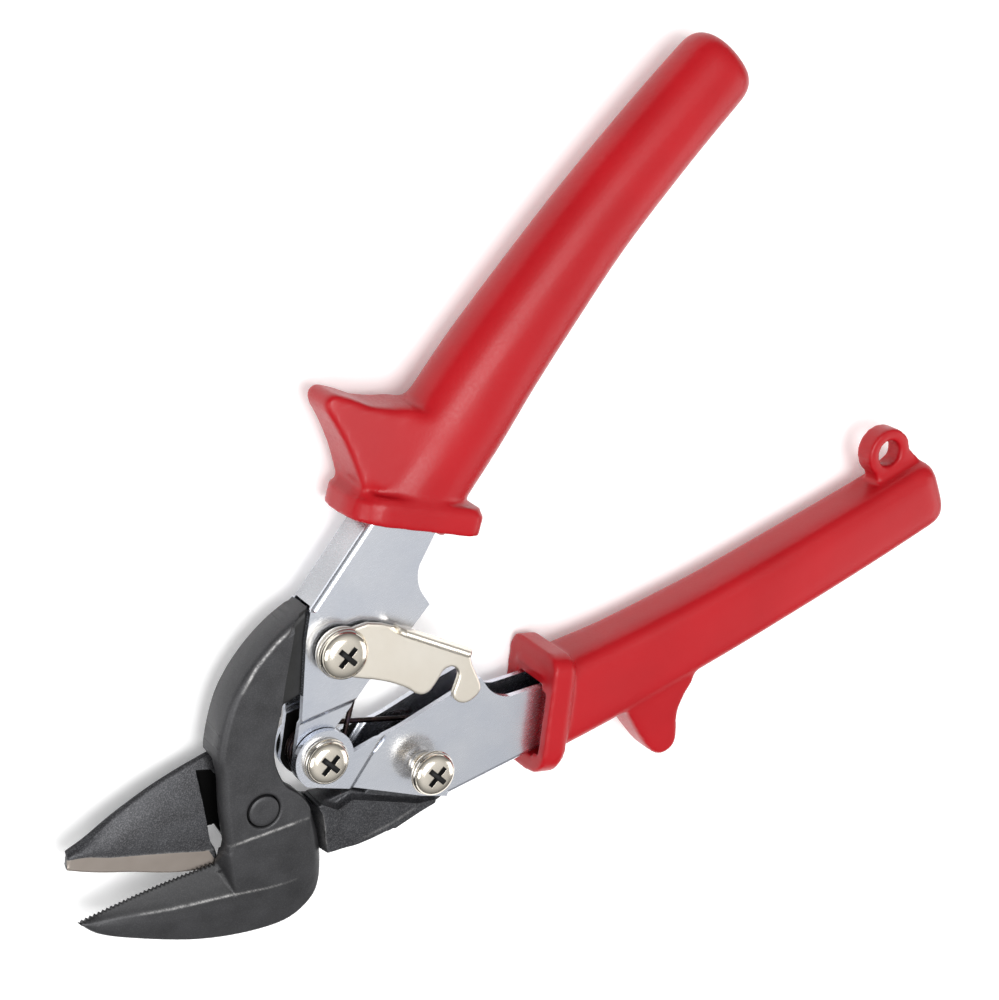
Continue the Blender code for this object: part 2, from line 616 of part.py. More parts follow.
def spring_leg(side):
    """A straight leg, from the coil outwards: side is 1 on the upper handle and -1 on the lower one."""
    direction = -side * leg_direction()
    x, y = on_circle(COIL_RADIUS, direction - 90 * side, HANDLE_PIVOT)
    height = side * COIL_HALF
    return [(*on_circle(reach, direction, (x, y)), height) for reach in (0.0, LEG_LENGTH / 2, LEG_LENGTH)]


def opening_spring(frame, material):
    """The torsion coil round the handle pivot, with the leg on the lower handle's side."""
    start = leg_direction() + 90
    sweep = 360 * COIL_TURNS - 2 * start - HANDLE_TRAVEL - 8
    steps = int(sweep / 22.5)
    coil = []
    for k in range(steps + 1):
        height = -COIL_HALF + 2 * COIL_HALF * k / steps
        coil.append((*on_circle(COIL_RADIUS, start + sweep * k / steps, HANDLE_PIVOT), height))
    return place("opening_spring", tube_along([*reversed(spring_leg(-1)), *coil[1:]], WIRE), frame, material)


# ---------------------------------------------------------------- assembly


def main():
    clear_scene()
    zinc = make_material("zinc", (0.72, 0.74, 0.78), **STEEL)
    nickel = make_material("nickel", (0.80, 0.76, 0.68), **STEEL)
    black = make_material("black_oxide", (0.07, 0.07, 0.075), **BLACK)
    wire = make_material("spring_wire", (0.05, 0.05, 0.05), **BLACK)
    red = make_material("red_vinyl", (0.62, 0.02, 0.03), **PLASTIC)

    lower_handle = pivot_frame("lower_handle_frame", HANDLE_PIVOT)
    upper_handle = pivot_frame("upper_handle_frame", HANDLE_PIVOT)
    lower_blade = pivot_frame("lower_blade_frame", UPPER_TANG, upper_handle)
    upper_blade = pivot_frame("upper_blade_frame", MAIN_PIVOT, lower_blade)
    latch = pivot_frame("latch_frame", UPPER_TANG, upper_handle)

    lower_jaw_blade(lower_blade, black)
    upper_jaw_blade(upper_blade, black)
    pivot_profile = [(PIVOT_RADIUS, -REST_HEIGHT), (PIVOT_RADIUS, BLADE + 0.2)]
    place("main_pivot_bolt", turned(pivot_profile, MAIN_PIVOT, 32), lower_blade, black)
    bore = PIVOT_RADIUS + GAP
    washer("main_pivot_washer", lower_blade, zinc, MAIN_PIVOT, -BLADE - GAP, 0.8, 7.6, bore)
    nut_top = -BLADE - 0.8 - 2 * GAP
    hex_nut("main_pivot_nut", lower_blade, zinc, MAIN_PIVOT, nut_top, nut_top + REST_HEIGHT, 13.0, bore)

    handle_channel("lower_handle_channel", lower_handle, zinc, True)
    handle_channel("upper_handle_channel", upper_handle, zinc, False)
    upper_grip(upper_handle, red)
    lower_grip(lower_handle, red)

    ear_face = CHANNEL_HALF + JOGGLE
    foot = -REST_HEIGHT + 0.3
    pan_head_screw("handle_pivot_screw", lower_handle, nickel, HANDLE_PIVOT, ear_face + 0.1, foot)
    washer("handle_pivot_bush", lower_handle, zinc, HANDLE_PIVOT, 2.3, 4.6, BUSH_RADIUS, SCREW_RADIUS + GAP)
    opening_spring(lower_handle, wire)
    place("opening_spring_upper_leg", tube_along(spring_leg(1), WIRE), upper_handle, wire)
    latch_top = LATCH_BASE + LATCH_SHEET + GAP / 2
    pan_head_screw("upper_tang_screw", upper_handle, nickel, UPPER_TANG, latch_top, foot, TANG_HEAD_RADIUS)
    bush_top = LATCH_BASE - 0.15
    bush_height = bush_top - CHANNEL_HALF - 0.15
    washer("latch_bush", upper_handle, nickel, UPPER_TANG, bush_top, bush_height, 5.2, SCREW_RADIUS + GAP)
    pan_head_screw("lower_tang_stud", lower_handle, nickel, LOWER_TANG, STUD_HEAD_BASE, foot, shank=STUD_RADIUS)
    for name, frame, centre, face in (
        ("handle_pivot", lower_handle, HANDLE_PIVOT, ear_face),
        ("upper_tang", upper_handle, UPPER_TANG, CHANNEL_HALF),
        ("lower_tang", lower_handle, LOWER_TANG, CHANNEL_HALF),
    ):
        top = -face - 0.15
        washer(name + "_washer", frame, nickel, centre, top, WASHER_HEIGHT, 4.9, SCREW_RADIUS + GAP)
        hex_nut(name + "_nut", frame, nickel, centre, top - WASHER_HEIGHT - 0.15, NUT_HEIGHT - 0.1)
    latch_plate(latch, nickel)


main()
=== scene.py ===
import math

import bmesh
import bpy
import numpy as np
from mathutils import Matrix, Vector, geometry


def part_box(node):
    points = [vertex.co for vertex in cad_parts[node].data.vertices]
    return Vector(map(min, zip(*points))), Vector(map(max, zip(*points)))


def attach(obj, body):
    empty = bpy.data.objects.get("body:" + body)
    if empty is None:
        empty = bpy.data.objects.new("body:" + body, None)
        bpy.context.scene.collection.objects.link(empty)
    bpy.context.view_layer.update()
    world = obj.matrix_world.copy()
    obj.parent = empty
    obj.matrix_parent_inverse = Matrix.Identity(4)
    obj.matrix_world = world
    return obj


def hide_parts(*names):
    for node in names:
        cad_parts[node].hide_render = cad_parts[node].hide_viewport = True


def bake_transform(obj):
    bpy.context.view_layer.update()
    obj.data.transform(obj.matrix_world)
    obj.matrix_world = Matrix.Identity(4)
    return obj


# Aviation snips: the looks. Shapes are drawn in millimetres from the main pivot, with heights from the middle
# of the handles' channels, as in the part. finish_piece turns them into metres in the row frame.

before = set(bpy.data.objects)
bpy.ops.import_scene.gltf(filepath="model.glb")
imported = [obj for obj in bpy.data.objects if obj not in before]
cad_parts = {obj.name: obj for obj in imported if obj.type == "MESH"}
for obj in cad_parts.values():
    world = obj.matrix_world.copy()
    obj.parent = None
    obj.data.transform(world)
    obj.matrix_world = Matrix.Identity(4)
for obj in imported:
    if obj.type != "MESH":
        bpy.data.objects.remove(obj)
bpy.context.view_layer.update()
MM = 0.001


def axis_of(node):
    """Where a round CAD node's vertical axis stands, in millimetres."""
    low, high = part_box(node)
    return ((low.x + high.x) / 2 / MM, (low.y + high.y) / 2 / MM)


MAIN_PIVOT = (0.0, 0.0)
HANDLE_PIVOT = axis_of("handle_pivot_washer")
UPPER_TANG = axis_of("upper_tang_washer")
LOWER_TANG = axis_of("lower_tang_washer")
REST_HEIGHT = (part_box("upper_handle_channel")[0].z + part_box("upper_handle_channel")[1].z) / 2 / MM
CHANNEL_HALF = 4.9
SHEET = 1.4
JOGGLE = 0.85
BLADE = 5.0
TANG_HALF = 3.2
SHEAR_GAP = 0.15
BOLT_RADIUS = 3.5
SCREW_RADIUS = 2.4
HEAD_RADIUS = 5.2
TANG_HEAD_RADIUS = 5.7
HEAD_HEIGHT = 2.9
STEP = 0.24  # how wide the wall of a forged step is, in plan
PHILLIPS_TURN = 12.0


# ---------------------------------------------------------------- outlines


def on_circle(radius, degrees, centre=(0.0, 0.0)):
    angle = math.radians(degrees)
    return (centre[0] + radius * math.cos(angle), centre[1] + radius * math.sin(angle))


def arc(centre, radius, start, end, steps=8):
    return [on_circle(radius, start + (end - start) * k / steps, centre) for k in range(steps + 1)]


def circle(centre, radius, sides=48):
    return [on_circle(radius, 360 * k / sides, centre) for k in range(sides)]


def mirrored(points):
    """The outline on the other side of the centre line, still in the same turning direction."""
    return [(x, -y) for x, y in reversed(points)]


def smooth(points, steps=6):
    """A smooth open curve through its points, as a Catmull-Rom spline."""
    ends = [points[0], *points, points[-1]]
    found = []
    for a, b, c, d in zip(ends, ends[1:], ends[2:], ends[3:]):
        for k in range(steps):
            t = k / steps
            found.append(tuple(spline(p, q, r, s, t) for p, q, r, s in zip(a, b, c, d)))
    return [*found, tuple(points[-1])]


def spline(p, q, r, s, t):
    square = (2 * p - 5 * q + 4 * r - s) * t * t
    return 0.5 * (2 * q + (r - p) * t + square + (3 * q - p - 3 * r + s) * t**3)


def rounded(corners, steps=6):
    """A closed outline whose corners (x, y, radius) are filleted."""
    found = []
    for before, (x, y, radius), after in zip(corners[-1:] + corners[:-1], corners, corners[1:] + corners[:1]):
        corner = Vector((x, y))
        back = (Vector(before[:2]) - corner).normalized()
        ahead = (Vector(after[:2]) - corner).normalized()
        if radius <= 0:
            found.append((x, y))
            continue
        half = back.angle(ahead) / 2
        reach = radius / math.tan(half)
        middle = corner + (back + ahead).normalized() * radius / math.sin(half)
        start = corner + back * reach - middle
        turn = start.angle_signed(corner + ahead * reach - middle)
        for k in range(steps + 1):
            spoke = start.copy()
            spoke.rotate(Matrix.Rotation(-turn * k / steps, 2))
            found.append(tuple(middle + spoke))
    return found


def along(points, count):
    """The same open line as evenly spaced points. It takes points of any dimension."""
    line = np.array(points, float)
    reach = np.concatenate([[0], np.cumsum(np.linalg.norm(np.diff(line[:, :2], axis=0), axis=1))])
    places = np.linspace(0, reach[-1], count)
    return np.stack([np.interp(places, reach, column) for column in line.T], axis=1)


def refined(loop, spacing):
    """A closed outline with points added so that none of its sides is longer than the spacing."""
    found = []
    for start, end in zip(loop, [*loop[1:], loop[0]]):
        steps = max(1, math.ceil(math.dist(start, end) / spacing))
        for k in range(steps):
            found.append(tuple(a + (b - a) * k / steps for a, b in zip(start, end)))
    return found


def offset(loop, distance):
    """A closed outline moved inwards by a distance, corner by corner."""
    points = np.array(loop, float)
    edge = np.roll(points, -1, axis=0) - points
    edge /= np.linalg.norm(edge, axis=1)[:, None] + 1e-9
    normal = np.stack([-edge[:, 1], edge[:, 0]], axis=1)
    area = np.sum(points[:, 0] * np.roll(points[:, 1], -1) - np.roll(points[:, 0], -1) * points[:, 1])
    both = normal + np.roll(normal, 1, axis=0)
    both /= np.maximum(np.linalg.norm(both, axis=1)[:, None], 0.5)
    return [tuple(p) for p in points + both * distance * math.copysign(1, area)]


# ---------------------------------------------------------------- distances and faceted heights


def line_distance(points, line):
    """Each point's distance from an open line, and the share of the line before its nearest point."""
    line = np.array(line, float)[:, :2]
    lengths = np.linalg.norm(np.diff(line, axis=0), axis=1)
    best = np.full(len(points), 1e9)
    share = np.zeros(len(points))
    done = 0.0
    for start, end, length in zip(line, line[1:], lengths):
        t = np.clip((points - start) @ (end - start) / max(length**2, 1e-12), 0, 1)
        far = np.linalg.norm(points - start - t[:, None] * (end - start), axis=1)
        share = np.where(far < best, (done + t * length) / lengths.sum(), share)
        best = np.minimum(best, far)
        done += length
    return best, share


def depth_inside(points, loop):
    """How far inside a closed outline each point is. It is negative outside."""
    corners = np.array(loop, float)
    best = line_distance(points, [*loop, loop[0]])[0]
    inside = np.zeros(len(points), bool)
    for start, end in zip(corners, np.roll(corners, -1, axis=0)):
        if start[1] == end[1]:
            continue
        crosses = (start[1] > points[:, 1]) != (end[1] > points[:, 1])
        reach = start[0] + (points[:, 1] - start[1]) / (end[1] - start[1]) * (end[0] - start[0])
        inside ^= crosses & (points[:, 0] < reach)
    return np.where(inside, best, -best)


def step_at(depth, width=STEP):
    """1 inside an outline, 0 once a point is further than the width outside it."""
    return np.clip(1 + depth / width, 0, 1)


def strip(first, second, rows=1, bulge=0.0):
    """Facets between two space curves, which may swell upwards between them."""
    count = max(len(first), len(second))
    one, two = along(first, count), along(second, count)
    levels = []
    for row in range(rows + 1):
        t = row / rows
        level = one * (1 - t) + two * t
        level[:, 2] += bulge * 4 * t * (1 - t)
        levels.append([tuple(point) for point in level])
    found = []
    for low, high in zip(levels, levels[1:]):
        found += [[a, b, d, c] for a, b, c, d in zip(low, low[1:], high, high[1:])]
    return found


class Facets:
    """A surface of flat facets, read as a height at any point and carried on past its border."""

    def __init__(self, polygons):
        self.triangles = []
        for polygon in polygons:
            flat = [Vector((x, y, 0)) for x, y, _ in polygon]
            for corners in geometry.tessellate_polygon([flat]):
                self.triangles.append(np.array([polygon[k] for k in corners], float))

    def at(self, points):
        best = np.full(len(points), -1e9)
        heights = np.zeros(len(points))
        for a, b, c in self.triangles:
            area = (b[0] - a[0]) * (c[1] - a[1]) - (b[1] - a[1]) * (c[0] - a[0])
            if abs(area) < 1e-9:
                continue
            x, y = points[:, 0] - a[0], points[:, 1] - a[1]
            v = (x * (c[1] - a[1]) - y * (c[0] - a[0])) / area
            w = (y * (b[0] - a[0]) - x * (b[1] - a[1])) / area
            u = 1 - v - w
            sides = [abs(area) / math.dist(p[:2], q[:2]) for p, q in ((b, c), (c, a), (a, b))]
            lowest = np.minimum(np.minimum(u * sides[0], v * sides[1]), w * sides[2])
            nearer = lowest > best
            heights = np.where(nearer, u * a[2] + v * b[2] + w * c[2], heights)
            best = np.where(nearer, lowest, best)
        return heights

    def softened(self, points, radius):
        """The height averaged over a small disc, which rounds the creases."""
        total = self.at(points)
        for k in range(8):
            total = total + self.at(points + np.array(on_circle(radius, 45 * k)))
        return total / 9


# ---------------------------------------------------------------- meshes


def prism(outline, low, high, holes=()):
    """A flat plate between two heights, with holes through it."""
    mesh = bmesh.new()
    edges = []
    for loop in (outline, *holes):
        verts = [mesh.verts.new((x, y, low)) for x, y in loop]
        edges += [mesh.edges.new(pair) for pair in zip(verts, verts[1:] + verts[:1])]
    if holes:
        bmesh.ops.triangle_fill(mesh, use_beauty=True, edges=edges)
    else:
        mesh.faces.new(mesh.verts)
    raised = bmesh.ops.extrude_face_region(mesh, geom=mesh.faces[:])["geom"]
    top = [item for item in raised if isinstance(item, bmesh.types.BMVert)]
    bmesh.ops.translate(mesh, verts=top, vec=(0, 0, high - low))
    bmesh.ops.recalc_face_normals(mesh, faces=mesh.faces[:])
    return mesh


def loft(sections, closed=False):
    """A solid through rings of equally many points, capped at both ends or closed into a ring."""
    mesh = bmesh.new()
    rings = [[mesh.verts.new(point) for point in ring] for ring in sections]
    count = len(rings[0])
    following = rings[1:] + rings[:1] if closed else rings[1:]
    for lower, upper in zip(rings, following):
        for k in range(count):
            n = (k + 1) % count
            mesh.faces.new((lower[k], lower[n], upper[n], upper[k]))
    if not closed:
        mesh.faces.new(list(reversed(rings[0])))
        mesh.faces.new(rings[-1])
    bmesh.ops.recalc_face_normals(mesh, faces=mesh.faces[:])
    return mesh


def turned(profile, centre, sides=64):
    """A solid turned about a vertical axis from (radius, height) pairs: a ring if the profile closes."""
    closed = profile[0] == profile[-1]
    pairs = profile[:-1] if closed else profile
    rings = [[(x, y, height) for x, y in circle(centre, radius, sides)] for radius, height in pairs]
    return loft(rings, closed)


def bevelled_profile(inner, outer, low, high, edge=0.18):
    """The closed profile of a washer or bush with broken edges."""
    points = [(inner, low + edge), (inner + edge, low), (outer - edge, low), (outer, low + edge)]
    points += [(outer, high - edge), (outer - edge, high), (inner + edge, high), (inner, high - edge)]
    return [*points, points[0]]


def tube_along(path, radius, sides=12):
    """A round wire along a path, with slightly domed ends."""
    sections = []
    last = len(path) - 1
    for k, point in enumerate(path):
        ahead = Vector(path[min(k + 1, last)]) - Vector(path[max(k - 1, 0)])
        side = ahead.cross(Vector((0, 0, 1))).normalized()
        up = side.cross(ahead).normalized()
        share = 0.6 if k in (0, last) else 1.0
        ring = []
        for n in range(sides):
            angle = 2 * math.pi * n / sides
            ring.append(Vector(point) + radius * share * (math.cos(angle) * side + math.sin(angle) * up))
        sections.append(ring)
    return loft(sections)


def helper_object(mesh, materials=()):
    """An object from a bmesh, with the materials that its faces number."""
    data = bpy.data.meshes.new("helper")
    for item in materials:
        data.materials.append(item)
    mesh.to_mesh(data)
    mesh.free()
    made = bpy.data.objects.new("helper", data)
    bpy.context.scene.collection.objects.link(made)
    return made


def settled(target, helpers=()):
    """Applies an object's modifiers and removes the helpers that they used."""
    graph = bpy.context.evaluated_depsgraph_get()
    data = bpy.data.meshes.new_from_object(target.evaluated_get(graph))
    target.modifiers.clear()
    target.data = data
    for helper in helpers:
        bpy.data.objects.remove(helper)
    return target


def combined(target, *steps):
    """Applies Boolean steps, each an operation and a bmesh, to an object."""
    helpers = []
    for operation, mesh in steps:
        helper = helper_object(mesh, target.data.materials)
        boolean = target.modifiers.new(operation, "BOOLEAN")
        boolean.operation = operation
        boolean.solver = "EXACT"
        boolean.object = helper
        helpers.append(helper)
    return settled(target, helpers)


def bevelled(target, width, segments=3, angle=32):
    bevel = target.modifiers.new("edges", "BEVEL")
    bevel.width = width
    bevel.segments = segments
    bevel.limit_method = "ANGLE"
    bevel.angle_limit = math.radians(angle)
    bevel.use_clamp_overlap = True
    return settled(target)


def joined(meshes):
    """One bmesh that holds several."""
    whole = bmesh.new()
    for mesh in meshes:
        data = bpy.data.meshes.new("helper")
        mesh.to_mesh(data)
        mesh.free()
        whole.from_mesh(data)
        bpy.data.meshes.remove(data)
    return whole


def finish_piece(name, target, body, replaces, sharp=40, weighted=False):
    """Names a piece, puts it in the row frame and hangs it on its CAD body."""
    target.name = name
    target.data.name = name
    target.data.transform(Matrix.Translation((0, 0, REST_HEIGHT)))
    target.data.transform(Matrix.Scale(MM, 4))
    target.data.shade_smooth()
    if sharp:
        target.data.set_sharp_from_angle(angle=math.radians(sharp))
    if weighted:
        flat = target.modifiers.new("flat_faces", "WEIGHTED_NORMAL")
        flat.weight = 100
        flat.keep_sharp = True
    if body:
        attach(target, body)
    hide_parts(*replaces)


# ---------------------------------------------------------------- materials


def add(tree, kind, values=None, links=None, **settings):
    """Adds a shader node with its settings, its constant inputs and its links."""
    node = tree.nodes.new("ShaderNode" + kind)
    for key, value in settings.items():
        setattr(node, key, value)
    for key, value in (values or {}).items():
        node.inputs[key].default_value = value
    for key, source in (links or {}).items():
        tree.links.new(source, node.inputs[key])
    return node


def new_material(name):
    made = bpy.data.materials.new(name)
    made.use_nodes = True
    tree = made.node_tree
    return made, tree, tree.nodes["Principled BSDF"]


def place_on_piece(tree, stretch=(1, 1, 1), turn=0.0):
    """Object coordinates, turned about the vertical and stretched, for grain that follows the metal."""
    place = add(tree, "TexCoord").outputs["Object"]
    turned_place = add(tree, "Mapping", {"Rotation": (0, 0, math.radians(turn))}, {"Vector": place})
    return add(tree, "Mapping", {"Scale": stretch}, {"Vector": turned_place.outputs[0]}).outputs[0]


def noise(tree, place, scale, detail=3.0, roughness=0.5):
    values = {"Scale": scale, "Detail": detail, "Roughness": roughness}
    return add(tree, "TexNoise", values, {"Vector": place}).outputs["Fac"]


def ramp(tree, source, stops):
    """A colour ramp from (place, colour) stops. A number stands for a grey."""
    node = add(tree, "ValToRGB", None, {"Fac": source})
    while len(node.color_ramp.elements) < len(stops):
        node.color_ramp.elements.new(0.5)
    for element, (place, colour) in zip(node.color_ramp.elements, stops):
        element.position = place
        element.color = (colour, colour, colour, 1) if isinstance(colour, float) else (*colour, 1)
    return node.outputs["Color"]


def feed(tree, shader, socket, source, stops):
    """Drives one of a shader's inputs from a source, through a ramp."""
    tree.links.new(ramp(tree, source, stops), shader.inputs[socket])


def mixed(tree, share, first, second):
    """A colour between two others. A tuple is a constant."""
    node = add(tree, "Mix", data_type="RGBA")
    sockets = [item for item in node.inputs if item.enabled]
    for socket, value in zip(sockets, (share, first, second)):
        if isinstance(value, tuple):
            socket.default_value = (*value, 1)
        else:
            tree.links.new(value, socket)
    return [item for item in node.outputs if item.enabled][0]


def bumped(tree, height, strength, distance, below=None):
    node = add(tree, "Bump", {"Strength": strength, "Distance": distance}, {"Height": height})
    if below:
        tree.links.new(below, node.inputs["Normal"])
    return node.outputs["Normal"]


def wear_and_highlight_of(tree):
    return add(tree, "Attribute", attribute_name="wear_and_highlight").outputs["Fac"]


def forged_steel(name, dark, light, roughness, grain, metallic=0.55):
    """Black-oxide forged steel: a mottled satin grey with a grit, bright along creases with wear and a
    painted highlight.
    """
    made, tree, shader = new_material(name)
    place = place_on_piece(tree)
    clouds = noise(tree, place, 160, 4)
    grit = noise(tree, place, 3600, 2, 0.7)
    base = ramp(tree, clouds, [(0.3, dark), (0.7, light)])
    speckled = mixed(tree, ramp(tree, grit, [(0.45, 0.0), (0.85, grain)]), base, (0.2, 0.2, 0.21))
    patchy = noise(tree, place, 900, 5, 0.65)
    # Along creases the colour turns to bright steel: partly edge wear, partly a painted highlight on convex
    # creases.
    wear_and_highlight_share = add(tree, "Math", operation="MULTIPLY", use_clamp=True)
    tree.links.new(wear_and_highlight_of(tree), wear_and_highlight_share.inputs[0])
    tree.links.new(ramp(tree, patchy, [(0.36, 0.15), (0.6, 1.0)]), wear_and_highlight_share.inputs[1])
    tree.links.new(mixed(tree, wear_and_highlight_share.outputs[0], speckled, (0.52, 0.51, 0.5)), shader.inputs["Base Color"])
    feed(tree, shader, "Roughness", clouds, [(0.25, roughness - 0.07), (0.75, roughness + 0.08)])
    shader.inputs["Metallic"].default_value = metallic
    coarse = bumped(tree, noise(tree, place, 420, 3), 0.25, 0.00012)
    tree.links.new(bumped(tree, grit, 0.5, 0.00004, coarse), shader.inputs["Normal"])
    return made


def brushed_metal(name, tint, other, roughness, stretch, turn, bump=0.12):
    """Plated sheet or bright metal, faintly brushed one way, with a slow drift of its tint."""
    made, tree, shader = new_material(name)
    lines = noise(tree, place_on_piece(tree, stretch, turn), 900, 3, 0.6)
    drift = noise(tree, place_on_piece(tree), 70, 3)
    feed(tree, shader, "Base Color", drift, [(0.35, tint), (0.7, other)])
    feed(tree, shader, "Roughness", lines, [(0.2, roughness - 0.05), (0.8, roughness + 0.07)])
    shader.inputs["Metallic"].default_value = 1.0
    tree.links.new(bumped(tree, lines, bump, 0.00002), shader.inputs["Normal"])
    return made


def moulded_vinyl(name):
    """Red dipped vinyl: satin, very finely pebbled, with slow ripples from the mould."""
    made, tree, shader = new_material(name)
    place = place_on_piece(tree)
    drift = noise(tree, place, 45, 3)
    pebbles = noise(tree, place, 1500, 2, 0.55)
    ripples = noise(tree, place, 130, 2)
    feed(tree, shader, "Base Color", drift, [(0.3, (0.368, 0.0029, 0.0072)), (0.7, (0.424, 0.0043, 0.0094))])
    feed(tree, shader, "Roughness", pebbles, [(0.3, 0.3), (0.7, 0.4)])
    shader.inputs["Specular IOR Level"].default_value = 0.32
    wavy = bumped(tree, ripples, 0.08, 0.0006)
    tree.links.new(bumped(tree, pebbles, 0.22, 0.00006, wavy), shader.inputs["Normal"])
    return made


def spring_wire(name):
    """Dark oiled spring steel with brown and violet glints."""
    made, tree, shader = new_material(name)
    hue = noise(tree, place_on_piece(tree), 420, 3)
    stops = [(0.3, (0.012, 0.012, 0.013)), (0.55, (0.035, 0.022, 0.02)), (0.75, (0.028, 0.02, 0.036))]
    feed(tree, shader, "Base Color", hue, stops)
    feed(tree, shader, "Roughness", hue, [(0.3, 0.2), (0.7, 0.34)])
    shader.inputs["Metallic"].default_value = 0.95
    scratches = noise(tree, place_on_piece(tree), 2200)
    tree.links.new(bumped(tree, scratches, 0.15, 0.00003), shader.inputs["Normal"])
    return made


FLOOR_GLOW = 0.22  # keeps the shadows on the floor soft and pale


def floor_material():
    made, tree, shader = new_material("pale_floor")
    place = place_on_piece(tree)
    feed(tree, shader, "Base Color", noise(tree, place, 9, 4), [(0.3, 0.9), (0.7, 0.92)])
    feed(tree, shader, "Roughness", noise(tree, place, 60, 3), [(0.3, 0.62), (0.7, 0.7)])
    shader.inputs["Emission Color"].default_value = (1, 1, 1, 1)
    shader.inputs["Emission Strength"].default_value = FLOOR_GLOW
    return made


FORGED = forged_steel("forged_black_oxide", (0.034, 0.034, 0.036), (0.05, 0.05, 0.053), 0.44, 0.2)
JAW_STEEL = forged_steel("forged_upper_jaw", (0.018, 0.018, 0.02), (0.036, 0.037, 0.041), 0.4, 0.6)
# A darker copy of the forged steel for the lower blade's rake face: painted shade.
RAKE_PAINTED_SHADE = forged_steel("forged_rake_painted_shade", (0.014, 0.014, 0.015), (0.028, 0.028, 0.03), 0.5, 0.15, 0.3)
# Near-black steel for the upper blade's groove: a painted shadow.
GROOVE_PAINTED_SHADOW = forged_steel("groove_painted_shadow", (0.002, 0.002, 0.002), (0.004, 0.004, 0.004), 0.8, 0.01, 0.9)
LAND_STEEL = brushed_metal(
    "ground_land", (0.3, 0.262, 0.232), (0.38, 0.335, 0.3), 0.38, (1, 14, 1), -45, 0.25
)
ZINC = brushed_metal("zinc_plate", (0.66, 0.69, 0.76), (0.74, 0.76, 0.81), 0.24, (1, 9, 1), 14)
# A darker copy of the zinc for the web's side faces: painted shade.
ZINC_WEB_PAINTED_SHADE = brushed_metal("zinc_web_painted_shade", (0.38, 0.39, 0.41), (0.46, 0.47, 0.49), 0.26, (1, 9, 1), 14)
# Near-black zinc inside the channels and in the joggle's crack: painted shade.
ZINC_PAINTED_SHADE = brushed_metal("zinc_painted_inner_shade", (0.01, 0.01, 0.01), (0.03, 0.028, 0.026), 0.6, (1, 9, 1), 14)
NICKEL = brushed_metal("nickel_plate", (0.78, 0.72, 0.62), (0.86, 0.8, 0.7), 0.16, (1, 2, 1), 0, 0.04)
WASHER_DARK = brushed_metal("dark_washer", (0.1, 0.095, 0.085), (0.16, 0.15, 0.13), 0.3, (1, 2, 1), 0, 0.06)
LATCH_NICKEL = brushed_metal(
    "latch_nickel", (0.83, 0.77, 0.67), (0.88, 0.83, 0.74), 0.34, (1, 6, 1), 34, 0.15
)
VINYL = moulded_vinyl("red_vinyl")
SPRING = spring_wire("spring_wire")
# Near-black steel for the screws' cross recesses and the lower blade's tang recess: painted shade.
PAINTED_RECESS_SHADE = forged_steel("painted_recess_shade", (0.01, 0.01, 0.01), (0.02, 0.02, 0.02), 0.5, 0.05, 0.4)


# ---------------------------------------------------------------- sculpted plates


RIM_ROWS = (0.15, 0.45, 1.0)  # where the rows that round a rim lie, as shares of its radius
ROW_HEIGHT = 0.866  # of a grid of even triangles


